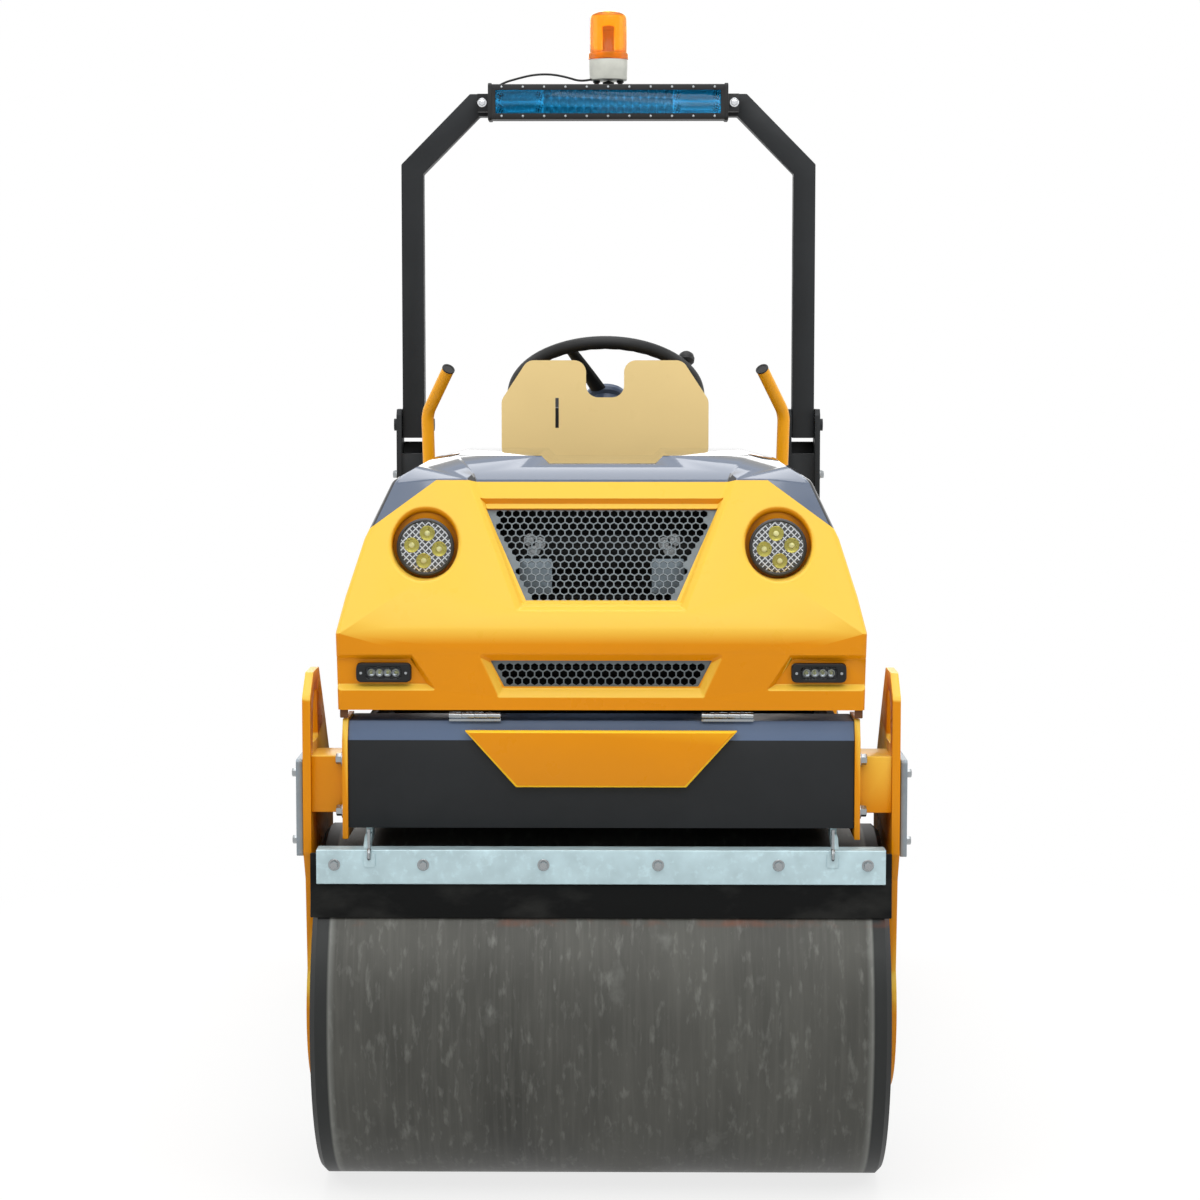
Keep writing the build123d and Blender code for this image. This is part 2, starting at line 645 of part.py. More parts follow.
with BuildPart() as steering_barrel:
    with BuildSketch(Plane.XY.offset(KNUCKLE_Z - 14)):
        with Locations((BARREL_X, BARREL_Y)):
            Circle(24)
    extrude(amount=28)
    with BuildSketch(along_cylinder(15)):
        Circle(13)
    extrude(amount=20)
    with BuildSketch(along_cylinder(32)):
        Circle(27)
    extrude(amount=178)
    with BuildSketch(along_cylinder(55)):
        Circle(15)
    extrude(amount=160, mode=Mode.SUBTRACT)
    with BuildSketch(Plane.XY.offset(KNUCKLE_Z - 30)):
        with Locations((BARREL_X, BARREL_Y)):
            Circle(EYE_PIN_R + 0.5)
    extrude(amount=60, mode=Mode.SUBTRACT)
save(steering_barrel.part, "steering_barrel")

with BuildPart() as steering_rod:
    with BuildSketch(along_cylinder(115)):
        Circle(14)
    extrude(amount=cylinder_length - 130)
    with BuildSketch(Plane.XY.offset(KNUCKLE_Z - 15)):
        with Locations((ARM_X, ARM_Y)):
            Circle(22)
    extrude(amount=30)
    with BuildSketch(Plane.XY.offset(KNUCKLE_Z - 38)):
        with Locations((ARM_X, ARM_Y)):
            Circle(EYE_PIN_R)
    extrude(amount=76)
save(steering_rod.part, "steering_rod")

front_chassis = chassis(FRONT, ((395, 25), (580, 25)))
with BuildPart() as cylinder_lugs:
    for low in (KNUCKLE_Z - 34, KNUCKLE_Z + 19):
        with BuildSketch(Plane.XY.offset(low)):
            with BuildLine():
                Polyline((BARREL_X - 40, -BULKHEAD), (BARREL_X - 22, BARREL_Y), (BARREL_X + 22, BARREL_Y),
                         (BARREL_X + 40, -BULKHEAD), close=True)
            make_face()
            with Locations((BARREL_X, BARREL_Y)):
                Circle(22)
        extrude(amount=15)
    with BuildSketch(Plane.XY.offset(KNUCKLE_Z - 34)):
        with Locations((BARREL_X, BARREL_Y)):
            Circle(EYE_PIN_R)
    extrude(amount=68)
with BuildPart() as front_frame:
    add(front_chassis)
    add(cylinder_lugs.part)
save(front_frame.part, "front_chassis")

# ---- rear frame ------------------------------------------------------------
SLEEVE_R = 68.0
FLOOR_Z = 706.0

with BuildPart() as rear_frame:
    add(chassis(REAR, ()))
    with BuildSketch(Plane.XZ.offset(-110)):
        with Locations((0, KNUCKLE_Z)):
            Circle(SLEEVE_R)
    extrude(amount=-(BULKHEAD - 110))
    with BuildSketch(Plane.YZ.offset(-8)):
        with BuildLine():
            Polyline((BULKHEAD, KNUCKLE_Z + 60), (180, KNUCKLE_Z + 60), (BULKHEAD, BEAM_LOW + 20), close=True)
        make_face()
    extrude(amount=16)
    with BuildSketch(Plane.XZ.offset(-100)):
        with Locations((0, KNUCKLE_Z)):
            Circle(SHAFT_R + 0.5)
    extrude(amount=-210, mode=Mode.SUBTRACT)
save(rear_frame.part, "rear_chassis")

FLOOR_FRONT = ((-430, -55), (-410, -85), (-60, -262), (60, -262), (410, -85), (430, -55))
with BuildPart() as floor_plate:
    with BuildSketch(Plane.XY.offset(FLOOR_Z - 8)):
        with BuildLine():
            Polyline(*FLOOR_FRONT, (430, BULKHEAD), (-430, BULKHEAD), close=True)
        make_face()
    extrude(amount=8)
    for x in (-380, -120, 108, 368):
        with BuildSketch(Plane.YZ.offset(x)):
            with BuildLine():
                Polyline((-60, FLOOR_Z - 8), (BULKHEAD, FLOOR_Z - 8), (BULKHEAD, FLOOR_Z - 70),
                         (250, FLOOR_Z - 70), close=True)
            make_face()
        extrude(amount=12)
save(floor_plate.part, "floor_plate")

REAR_BODY = ((226, FLOOR_Z), (206, 930), (880, 930), (944, 880), (944, BEAM_TOP + 1),
             (344, BEAM_TOP + 1), (344, FLOOR_Z))
REAR_BODY_HALF = 400.0
with BuildPart() as rear_body:
    with BuildSketch(Plane.YZ):
        with BuildLine():
            Polyline(*REAR_BODY, close=True)
        make_face()
    extrude(amount=REAR_BODY_HALF, both=True)
    ends = rear_body.edges().filter_by(lambda edge: abs(edge.center().X) > REAR_BODY_HALF - 1)
    fillet(ends.filter_by(lambda edge: edge.center().Z > 900 or edge.center().Y > 900), 18)
    # Filler caps of the water tank.
    with BuildSketch(Plane.XY.offset(930)):
        with Locations((-250, 800), (250, 800)):
            Circle(38)
    extrude(amount=22)
save(rear_body.part, "rear_body")

CONSOLE = ((-222, FLOOR_Z), (-222, 1180), (-160, 1232), (-160, 1375), (-100, 1375), (-50, 1240),
           (-70, 1180), (-40, FLOOR_Z))
with BuildPart() as dash_console:
    with BuildSketch(Plane.YZ):
        with BuildLine():
            Polyline(*CONSOLE, close=True)
        make_face()
    extrude(amount=125, both=True)
    with BuildSketch(Plane.YZ):
        with BuildLine():
            Polyline((-160, 1240), (-160, 1375), (-100, 1375), (-50, 1240), close=True)
        make_face()
    extrude(amount=196, both=True)
save(dash_console.part, "dash_console")

DASH_Y = 165.0
with BuildPart() as dash_plate:
    with BuildSketch(Plane.XZ.offset(DASH_Y - 5)) as plate:
        with BuildLine():
            Polyline((-207, 1235), (-207, 1391), (-155, 1470), (-38, 1470), (-38, 1396), (38, 1396), (38, 1470),
                     (155, 1470), (207, 1391), (207, 1235), close=True)
        make_face()
        upper = plate.vertices().filter_by_position(Axis.Y, 1385, 1475)
        fillet(upper, 24)
    extrude(amount=5)
    for side in SIDES:
        with BuildSketch(Plane.YZ.offset(side * 202)):
            with Locations((-DASH_Y + 5 + 45, 1310)):
                Rectangle(90, 140)
        extrude(amount=side * 5)
    with BuildSketch(Plane.XZ.offset(DASH_Y - 10)):
        with Locations((-96, 1365)):
            Rectangle(7, 60)
    extrude(amount=20, mode=Mode.SUBTRACT)
save(dash_plate.part, "dash_plate")

# ---- steering column and wheel --------------------------------------------
tilt = radians(WHEEL_TILT)
column_dir = Vector(0, sin(tilt), cos(tilt))


def column_plane(distance):
    """Plane across the column at a distance up its axis from the wheel's centre."""
    return Plane(origin=Vector(*WHEEL_C) + column_dir * distance, x_dir=(1, 0, 0), z_dir=column_dir)


with BuildPart() as steering_column:
    with BuildSketch(column_plane(-300)):
        Circle(26)
    extrude(amount=252)
    add(dash_console.part, mode=Mode.SUBTRACT)
column_solids = steering_column.part.solids().sort_by(Axis.Z)
save(column_solids[-1], "steering_column")

RIM_R, RIM_TUBE = 190.0, 14.0
with BuildPart() as steering_wheel:
    with BuildSketch(column_plane(-42)):
        Circle(32)
    extrude(amount=30)
    with BuildSketch(column_plane(-14)):
        Circle(44)
    extrude(amount=22)
    hub_plane = column_plane(0)
    for angle in (90, 210, 330):
        with BuildSketch(Plane(origin=hub_plane.origin, x_dir=hub_plane.x_dir.rotate(
                Axis((0, 0, 0), column_dir), angle), z_dir=column_dir).offset(-6)):
            with Locations((RIM_R / 2, 0)):
                Rectangle(RIM_R, 30)
        extrude(amount=12)
    rim_section = Plane(origin=hub_plane.origin, x_dir=(1, 0, 0), z_dir=(0, -cos(tilt), sin(tilt)))
    with BuildSketch(rim_section):
        with Locations((RIM_R, 0)):
            Circle(RIM_TUBE)
    revolve(axis=Axis(WHEEL_C, column_dir), revolution_arc=360)
    knob_angle = radians(25)
    with BuildSketch(column_plane(10)):
        with Locations((RIM_R * cos(knob_angle), -RIM_R * sin(knob_angle))):
            Circle(16)
    extrude(amount=45)
save(steering_wheel.part, "steering_wheel")

# ---- seat -------------------------------------------------------------------
SEAT_LEAN = radians(8)
BACK_FOOT = Vector(0, 552, 1010)      # foot of the backrest's front face
BACK_THICK = 80.0
back_rear = BACK_FOOT + Vector(0, cos(SEAT_LEAN), -sin(SEAT_LEAN)) * BACK_THICK


def back_rear_y(z):
    """Y of the backrest's rear face at a height."""
    return back_rear.Y + (z - back_rear.Z) * sin(SEAT_LEAN) / cos(SEAT_LEAN)


with BuildPart() as seat_base:
    with BuildSketch(Plane.XY.offset(930)):
        with Locations((0, 390)):
            Rectangle(400, 320)
    extrude(amount=25)
    for side in SIDES:
        with BuildSketch(Plane.YZ.offset(side * 130)):
            with BuildLine():
                Polyline((540, 930), (540, 955), (back_rear_y(955), 955), (back_rear_y(1250), 1250),
                         (back_rear_y(1250) + 14, 1250), (back_rear_y(930) + 30, 930), close=True)
            make_face()
        extrude(amount=side * 14)
save(seat_base.part, "seat_base")

with BuildPart() as seat_cushion:
    with BuildSketch(Plane.XY.offset(955)):
        with Locations((0, 345)):
            RectangleRounded(470, 405, 50)
    extrude(amount=90)
    fillet(seat_cushion.faces().sort_by(Axis.Z)[-1].edges(), 22)
save(seat_cushion.part, "seat_cushion")

with BuildPart() as seat_back:
    with BuildSketch(Plane(origin=BACK_FOOT, x_dir=(1, 0, 0), z_dir=(0, -cos(SEAT_LEAN), sin(SEAT_LEAN)))):
        with Locations((0, 200)):
            RectangleRounded(470, 400, 60)
    extrude(amount=-BACK_THICK)
save(seat_back.part, "seat_back")

# ---- grab poles ---------------------------------------------------------------
POLE_R = 12.5
with BuildPart() as grab_poles:
    for side in SIDES:
        points = ((side * 345, -45, FLOOR_Z), (side * 363, -60, 1362), (side * 315, -135, 1452))
        with BuildLine():
            FilletPolyline(*points, radius=45)
        start = Vector(*points[0])
        rise = (Vector(*points[1]) - start).normalized()
        with BuildSketch(Plane(origin=start, x_dir=(1, 0, 0), z_dir=rise)):
            Circle(POLE_R)
        sweep()
    add(floor_plate.part, mode=Mode.SUBTRACT)
save(grab_poles.part, "grab_poles")

# ---- roll bar -------------------------------------------------------------------
FOLD_Z, FOLD_PIN_R = 1320.0, 14.0      # pin the roll bar folds on

with BuildPart() as rops_brackets:
    for side in SIDES:
        x = side * ROPS_POST
        with BuildSketch(Plane.XY.offset(671)):
            with Locations((x, ROPS_Y)):
                Rectangle(TUBE, TUBE)
        extrude(amount=583)
        with BuildSketch(Plane.XY.offset(671)):
            with Locations((side * (CHASSIS_HALF + 1.25), ROPS_Y)):
                Rectangle(2.5, TUBE)
        extrude(amount=160)
        for near, thick in ((ROPS_POST - TUBE / 2 - 2, -11.5), (ROPS_POST + TUBE / 2 + 2, 11.5)):
            with BuildSketch(Plane.YZ.offset(side * near)):
                with BuildLine():
                    Polyline((660, 1130), (660, 1342), (674, 1356), (726, 1356), (740, 1342), (740, 1130),
                             close=True)
                make_face()
            extrude(amount=side * thick)
        with BuildSketch(Plane.XY.offset(1130)):
            with Locations((x, ROPS_Y + 33)):
                Rectangle(TUBE + 4, 14)
        extrude(amount=150)
        for near, thick in ((ROPS_POST - TUBE / 2 - 13.5, -8), (ROPS_POST + TUBE / 2 + 13.5, 8)):
            with BuildSketch(Plane.YZ.offset(side * near)):
                with Locations((ROPS_Y, FOLD_Z)):
                    Circle(FOLD_PIN_R)
            extrude(amount=side * thick)
        with BuildSketch(Plane.XY.offset(1130)):
            with Locations((x, ROPS_Y)):
                Rectangle(TUBE + 4, TUBE)
        extrude(amount=124)
save(rops_brackets.part, "rops_brackets")

HOOP = ((-472.5, 1290), (-472.5, 1913), (-315, 2072), (315, 2072), (472.5, 1913), (472.5, 1290),
        (422.5, 1290), (422.5, 1892), (294, 2022), (-294, 2022), (-422.5, 1892), (-422.5, 1290))
with BuildPart() as rops_hoop:
    with BuildSketch(Plane.XZ.offset(-(ROPS_Y + TUBE / 2))):
        with BuildLine():
            Polyline(*HOOP, close=True)
        make_face()
    extrude(amount=TUBE)
save(rops_hoop.part, "rops_hoop")

# A finned housing with a pocket for the bowls, the lens in its mouth, and an ear at each end.
BAR_W, BAR_H, BAR_Z = 540.0, 78.0, 2049.0
BAR_FRONT, BAR_BACK = 607.0, 667.0
BAR_LIP, POCKET_DEEP = 13.0, 34.0
LENS_SET, LENS_THICK = 3.0, 4.0
FIN_PITCH, FIN_GAP, FIN_DEEP = 11.0, 6.0, 18.0

with BuildPart() as light_bar:
    with BuildSketch(Plane.XZ.offset(-BAR_BACK)):
        with Locations((0, BAR_Z)):
            RectangleRounded(BAR_W, BAR_H, 6)
    extrude(amount=BAR_BACK - BAR_FRONT)
    chamfer(light_bar.faces().sort_by(Axis.Y)[0].edges(), 2)
    with BuildSketch(Plane.XZ.offset(-BAR_FRONT)):
        with Locations((0, BAR_Z)):
            Rectangle(BAR_W - 2 * BAR_LIP - 6, BAR_H - 2 * BAR_LIP)
    extrude(amount=-POCKET_DEEP, mode=Mode.SUBTRACT)
    with BuildSketch(Plane.XZ.offset(-BAR_BACK)):
        with Locations((0, BAR_Z)):
            with GridLocations(0, FIN_PITCH, 1, 6):
                Rectangle(BAR_W - 60, FIN_GAP)
    extrude(amount=FIN_DEEP, mode=Mode.SUBTRACT)
    with BuildSketch(Plane.XZ.offset(-ROPS_Y + TUBE / 2)):
        with Locations((-283, BAR_Z), (283, BAR_Z)):
            Rectangle(26, 40)
    extrude(amount=40)
save(light_bar.part, "light_bar")

with BuildPart() as light_bar_lens:
    with BuildSketch(Plane.XZ.offset(-BAR_FRONT - LENS_SET)):
        with Locations((0, BAR_Z)):
            Rectangle(BAR_W - 2 * BAR_LIP - 6, BAR_H - 2 * BAR_LIP)
    extrude(amount=-LENS_THICK)
save(light_bar_lens.part, "light_bar_lens")

# The beacon: three feet on the tube, a plug-shaped base with a lamp post, and a hollow ribbed dome.
ROPS_TOP = 2072.0
BEACON_FOOT, BEACON_BASE = 32.0, 47.0
DOME_Z = ROPS_TOP + BEACON_FOOT + BEACON_BASE
DOME_TALL, DOME_R, DOME_WALL, FLANGE_R, FLANGE_TALL = 110.0, 43.0, 3.0, 46.0, 14.0
RIBS = 24

with BuildPart() as beacon_base:
    with BuildSketch(Plane.XY.offset(ROPS_TOP)):
        with Locations((0, ROPS_Y)):
            with GridLocations(26, 0, 3, 1):
                Circle(6)
    extrude(amount=BEACON_FOOT)
    with BuildSketch(Plane.XY.offset(ROPS_TOP + BEACON_FOOT)):
        with Locations((0, ROPS_Y)):
            Circle(44)
    extrude(amount=BEACON_BASE, taper=3)
    with BuildSketch(Plane.XY.offset(DOME_Z)):
        with Locations((0, ROPS_Y)):
            Circle(15)
    extrude(amount=78)
save(beacon_base.part, "beacon_base")

with BuildPart() as beacon_dome:
    with BuildSketch(Plane(origin=(0, ROPS_Y, DOME_Z), x_dir=(1, 0, 0), z_dir=(0, -1, 0))):
        with BuildLine():
            Polyline((FLANGE_R - 6, 0), (FLANGE_R, 2), (FLANGE_R, FLANGE_TALL - 2), (DOME_R, FLANGE_TALL + 2),
                     (DOME_R - 2, DOME_TALL - 8), (DOME_R - 8, DOME_TALL), (0, DOME_TALL),
                     (0, DOME_TALL - DOME_WALL), (DOME_R - 10, DOME_TALL - DOME_WALL),
                     (DOME_R - DOME_WALL - 2, DOME_TALL - 10), (DOME_R - DOME_WALL, 0), close=True)
        make_face()
    revolve(axis=Axis((0, ROPS_Y, DOME_Z), (0, 0, 1)), revolution_arc=360)
    with BuildSketch(Plane.XY.offset(DOME_Z + FLANGE_TALL)):
        with Locations((0, ROPS_Y)):
            with PolarLocations(DOME_R - 1.2, RIBS):
                Rectangle(3, 3)
    extrude(amount=DOME_TALL - FLANGE_TALL - 12)
save(beacon_dome.part, "beacon_dome")

# Lead from the beacon's foot to the light bar's end, held at both.
LEAD = ((-36, 684, 2106), (-60, 676, 2099), (-95, 666, 2109), (-130, 660, 2115), (-170, 652, 2113),
        (-208, 645, 2103), (-240, 640, 2093), (-256, 637, 2081))
LEAD_R = 2.5


def arc_radii(points):
    """Each corner's radius: 0.45 of its shorter run over the tangent of half its turn."""
    corners = [Vector(*point) for point in points]
    radii = []
    for before, corner, after in zip(corners, corners[1:], corners[2:]):
        back, ahead = corner - before, after - corner
        half_turn = radians(back.get_angle(ahead)) / 2
        radii.append(0.45 * min(back.length, ahead.length) / tan(half_turn))
    print("lead's arc radii", [round(radius, 1) for radius in radii])
    return radii


with BuildPart() as beacon_lead:
    with BuildLine() as lead_route:
        FilletPolyline(*LEAD, radius=arc_radii(LEAD))
    print("lead's length", round(lead_route.wire().length, 1))
    with BuildSketch(Plane(origin=LEAD[0], x_dir=(0, 1, 0), z_dir=Vector(*LEAD[1]) - Vector(*LEAD[0]))):
        Circle(LEAD_R)
    sweep()
    add(beacon_base.part, mode=Mode.SUBTRACT)
    add(light_bar.part, mode=Mode.SUBTRACT)
save(beacon_lead.part, "beacon_lead")

with BuildPart() as travel_lever:
    with BuildSketch(Plane.XY.offset(930)):
        with Locations((310, 300)):
            RectangleRounded(60, 120, 8)
    extrude(amount=30)
    with BuildSketch(Plane.XY.offset(960)):
        with Locations((310, 290)):
            Circle(7)
    extrude(amount=150)
    with BuildSketch(Plane.XY.offset(1110)):
        with Locations((310, 290)):
            Circle(18)
    extrude(amount=45)
save(travel_lever.part, "travel_lever")

with BuildPart() as tail_lamps:
    for side in SIDES:
        with BuildSketch(Plane.XZ.offset(-BEAM_FACE)):
            with Locations((side * 370, 780)):
                RectangleRounded(100, 50, 8)
        extrude(amount=-18)
save(tail_lamps.part, "tail_lamps")

# ---- pieces that both halves have -------------------------------------------
for end, name in ((FRONT, "front"), (REAR, "rear")):
    save(drum(end), f"{name}_drum")
    save(side_plates(end), f"{name}_side_plates")
    save(side_guards(end), f"{name}_side_guards")
    save(hub_carrier(end), f"{name}_hub_carriers")
    save(cross_box(end), f"{name}_cross_box")
    save(cross_arms(end), f"{name}_cross_arms")
    bar, strip = scraper(end)
    save(bar, f"{name}_scraper_bar")
    save(strip, f"{name}_scraper_strip")
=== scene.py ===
import json
from math import pi, radians

import bmesh
import bpy
import numpy as np
from bpy.props import FloatProperty, FloatVectorProperty, PointerProperty
from bpy.types import Operator, Panel, PropertyGroup
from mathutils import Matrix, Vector


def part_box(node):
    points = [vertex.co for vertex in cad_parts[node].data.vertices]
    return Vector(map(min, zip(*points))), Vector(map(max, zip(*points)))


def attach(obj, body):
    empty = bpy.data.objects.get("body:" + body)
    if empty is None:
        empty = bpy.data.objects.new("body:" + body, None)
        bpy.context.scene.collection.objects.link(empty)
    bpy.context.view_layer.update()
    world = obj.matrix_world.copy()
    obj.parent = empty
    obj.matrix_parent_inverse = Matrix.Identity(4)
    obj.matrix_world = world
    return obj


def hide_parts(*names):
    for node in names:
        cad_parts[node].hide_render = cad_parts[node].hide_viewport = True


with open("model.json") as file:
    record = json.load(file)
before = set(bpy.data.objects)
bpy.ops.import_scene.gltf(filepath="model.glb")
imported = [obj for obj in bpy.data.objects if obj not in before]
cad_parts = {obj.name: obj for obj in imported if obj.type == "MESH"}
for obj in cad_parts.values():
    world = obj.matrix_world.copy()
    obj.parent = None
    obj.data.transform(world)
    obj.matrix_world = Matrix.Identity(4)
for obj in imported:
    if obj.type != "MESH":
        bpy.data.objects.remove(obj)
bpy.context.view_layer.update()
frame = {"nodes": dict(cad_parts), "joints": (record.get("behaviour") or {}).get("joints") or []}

bl_info = {
    "name": "Road roller dressing",
    "version": (1, 0, 0),
    "blender": (4, 5, 0),
    "location": "View3D > Sidebar > Roller",
    "description": "Dresses the tandem road roller's CAD frame with its finishes, lamps, bolts, wheel and seat",
    "category": "Object",
}

# Metres, +Z up, the floor at Z = 0, and the roller's front faces -Y.
MM = 0.001
FRONT_REAR = ((-1, "front"), (1, "rear"))
# The cross box is folded back a little from this height up, where it catches the light.
FOLD_HEIGHT = 0.8125
X_AXIS, Y_AXIS, Z_AXIS = np.eye(3)


# ---- sizes and colours that a user would change --------------------------------
def linear(code):
    """An sRGB hex colour as linear red, green and blue: the sRGB curve, solved for each channel."""
    parts = np.array([int(code[i:i + 2], 16) for i in (0, 2, 4)]) / 255
    return tuple(np.where(parts <= 0.04045, parts / 12.92, ((parts + 0.055) / 1.055) ** 2.4))


def length(name, text, value):
    return FloatProperty(name=name, description=text, default=value, unit="LENGTH", subtype="DISTANCE")


def colour(name, text, code):
    return FloatVectorProperty(name=name, description=text, default=linear(code), subtype="COLOR")


class RollerSizes(PropertyGroup):
    edge: length("Plate edge", "Width of the rounded edges of plates and tubes", 1.6 * MM)
    bolt: length("Bolt head", "Width across the flats of a structural bolt's head", 17 * MM)
    rim: length("Wheel rim", "Thickness of the steering wheel's rim", 27 * MM)


class RollerColours(PropertyGroup):
    enamel: colour("Body enamel", "Golden yellow of the hood, the side plates and the poles", "DC8A06")
    frame_coat: colour("Frame coat", "Dark grey of the cross box, the roll bar and the frames", "232527")
    film: colour("Light bar film", "Blue protective film over the light bar's lens", "66D8FF")
    beacon: colour("Beacon", "Orange of the beacon's dome", "FFAE10")
    vinyl: colour("Seat vinyl", "Black of the seat's cover", "141416")


def corners(node):
    """A CAD node's lowest and highest corners."""
    return map(np.array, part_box(node))


# ---- shapes: each returns a shell, which is points and four-cornered faces ---------
def surface(points, wrap=False):
    """A surface through a grid of points; wrap joins each row's last point to its first."""
    points = np.asarray(points, float)
    rows, columns = points.shape[:2]
    row, column = np.meshgrid(np.arange(rows - 1), np.arange(columns - 1 + wrap), indexing="ij")
    after = (column + 1) % columns
    near, far = row * columns, (row + 1) * columns
    faces = np.stack((near + column, near + after, far + after, far + column), -1)
    return points.reshape(-1, 3), faces.reshape(-1, 4)


def together(*shells):
    """Several shells as one: the points stacked, each shell's faces counted on from the last."""
    counts = np.cumsum([0] + [len(points) for points, _ in shells[:-1]])
    faces = [shell[1] + count for shell, count in zip(shells, counts)]
    return np.concatenate([shell[0] for shell in shells]), np.concatenate(faces)


def repeated(shell, offsets):
    """A shell at each offset: every point plus every offset."""
    points, faces = shell
    offsets = np.asarray(offsets, float)
    moved = points[None] + offsets[:, None]
    counted = faces[None] + np.arange(len(offsets))[:, None, None] * len(points)
    return moved.reshape(-1, 3), counted.reshape(-1, 4)


def mirrored(shell):
    """A shell and its mirror image across the plane X = 0."""
    points, faces = shell
    return together(shell, (points * (-1, 1, 1), faces[:, ::-1]))


def crossways(along):
    """Two directions square to a given one and to each other."""
    along = np.asarray(along, float) / np.linalg.norm(along)
    start = X_AXIS if abs(along[0]) < 0.9 else Y_AXIS
    first = np.cross(along, start)
    first /= np.linalg.norm(first)
    return first, np.cross(along, first), along


def around(steps):
    """That many equal angles round a circle."""
    return np.arange(steps) * 2 * pi / steps


def turned(profile, centre, along, steps, unit=MM):
    """A profile of (radius, height) turned round an axis: centre + radius (cos a, sin a) + height along it."""
    first, second, axis = crossways(along)
    angle = around(steps)
    ring = np.cos(angle)[:, None] * first + np.sin(angle)[:, None] * second
    radius, height = np.array(profile).T * unit
    points = np.asarray(centre) + radius[:, None, None] * ring + height[:, None, None] * axis
    return surface(points, wrap=True)


def drawn_in(outline, by):
    """An outline moved inwards by a distance: each corner goes along the sum of its two edges' normals."""
    outline = np.asarray(outline, float)
    ahead = np.roll(outline, -1, 0) - outline
    ahead /= np.linalg.norm(ahead, axis=1)[:, None]
    normal = np.stack((ahead[:, 1], -ahead[:, 0]), -1)
    corner = normal + np.roll(normal, 1, 0)
    return outline - corner / (corner * normal).sum(1)[:, None] * by


def raised(rows, centre, across, up):
    """Outlines at their heights, put in place: centre + x across + y up + height square to both."""
    across, up = np.asarray(across, float), np.asarray(up, float)
    out = np.cross(across, up)
    points = [row[:, :1] * across + row[:, 1:] * up + height * out + centre for row, height in rows]
    return surface(np.array(points), wrap=True)


def slab(outline, centre, across, up, thick, edge):
    """A plate with rounded edges: its outline drawn in by the edge at both faces and full between them."""
    outline = np.asarray(outline, float)
    middle = np.broadcast_to(outline.mean(0), outline.shape)
    small, nearly = drawn_in(outline, edge), drawn_in(outline, edge * 0.3)
    rows = ((middle, 0), (small, 0), (nearly, edge * 0.3), (outline, edge), (outline, thick - edge),
            (nearly, thick - edge * 0.3), (small, thick), (middle, thick))
    return raised(rows, centre, across, up)


def framed(outline, window, centre, across, up, thick, edge):
    """A plate with a window: a section carried round it, up the outside, over the face and down the window."""
    rows = ((outline, 0), (outline, thick - edge), (drawn_in(outline, edge), thick), (drawn_in(window, -edge), thick),
            (window, thick - edge), (window, 0), (outline, 0))
    return raised(rows, centre, across, up)


def tube(path, radius, flat, steps=10):
    """A bar bent along a flat path: a ring at each point, square to the way the path goes there, and closed ends."""
    path = np.asarray(path, float)
    ahead = np.gradient(path, axis=0)
    ahead /= np.linalg.norm(ahead, axis=1)[:, None]
    side = np.cross(ahead, flat)
    turn = around(steps)
    rings = path[:, None] + radius * (np.cos(turn)[None, :, None] * side[:, None] + np.sin(turn)[:, None] * flat)
    ends = [np.broadcast_to(path[i], (1, steps, 3)) for i in (0, -1)]
    return surface(np.concatenate((ends[0], rings, ends[1])), wrap=True)


def backed(front, back):
    """A relief and its flat back, a grid each, joined along their four edges."""
    edges = (0, -1, (slice(None), 0), (slice(None), -1))
    return together(surface(front), surface(back), *[surface(np.stack((front[e], back[e]))) for e in edges])


def rounded(width, height, corner, steps=6):
    """A rectangle's outline with quarter circles at its corners, counter-clockwise."""
    quarter = np.linspace(0, pi / 2, steps)
    turns = (quarter[None] + np.arange(4)[:, None] * pi / 2).ravel()
    side = np.repeat(np.array([(1, 1), (-1, 1), (-1, -1), (1, -1)]), steps, 0)
    centres = side * (width / 2 - corner, height / 2 - corner)
    return centres + corner * np.stack((np.cos(turns), np.sin(turns)), -1)


def copies(profile, places, along, steps, unit=MM):
    """A turned profile at each of several places."""
    return repeated(turned(profile, (0, 0, 0), along, steps, unit), places)


def tile(sizes, centre, across=X_AXIS, up=Z_AXIS):
    """A slab with rounded corners, from its width, height, corner, thickness and edge in millimetres."""
    wide, tall, corner, thick, edge = np.array(sizes) * MM
    return slab(rounded(wide, tall, corner), np.array(centre), across, up, thick, edge)


def bolts(places, along, flats, washer=True):
    """Hexagon heads on washers: a six-cornered profile with a domed top, on a round disc."""
    reach = flats / np.sqrt(3)
    thick = flats * 0.13 * washer
    head = ((0, thick), (reach, thick), (reach, thick + flats * 0.5), (reach * 0.92, thick + flats * 0.58),
            (reach * 0.5, thick + flats * 0.62), (0, thick + flats * 0.62))
    shells = [turned(head, (0, 0, 0), along, 6, 1)]
    if washer:
        disc = ((0, 0), (flats * 0.8, 0), (flats * 0.8, thick * 0.7), (flats * 0.76, thick), (0, thick))
        shells.append(turned(disc, (0, 0, 0), along, 20, 1))
    return repeated(together(*shells), places)


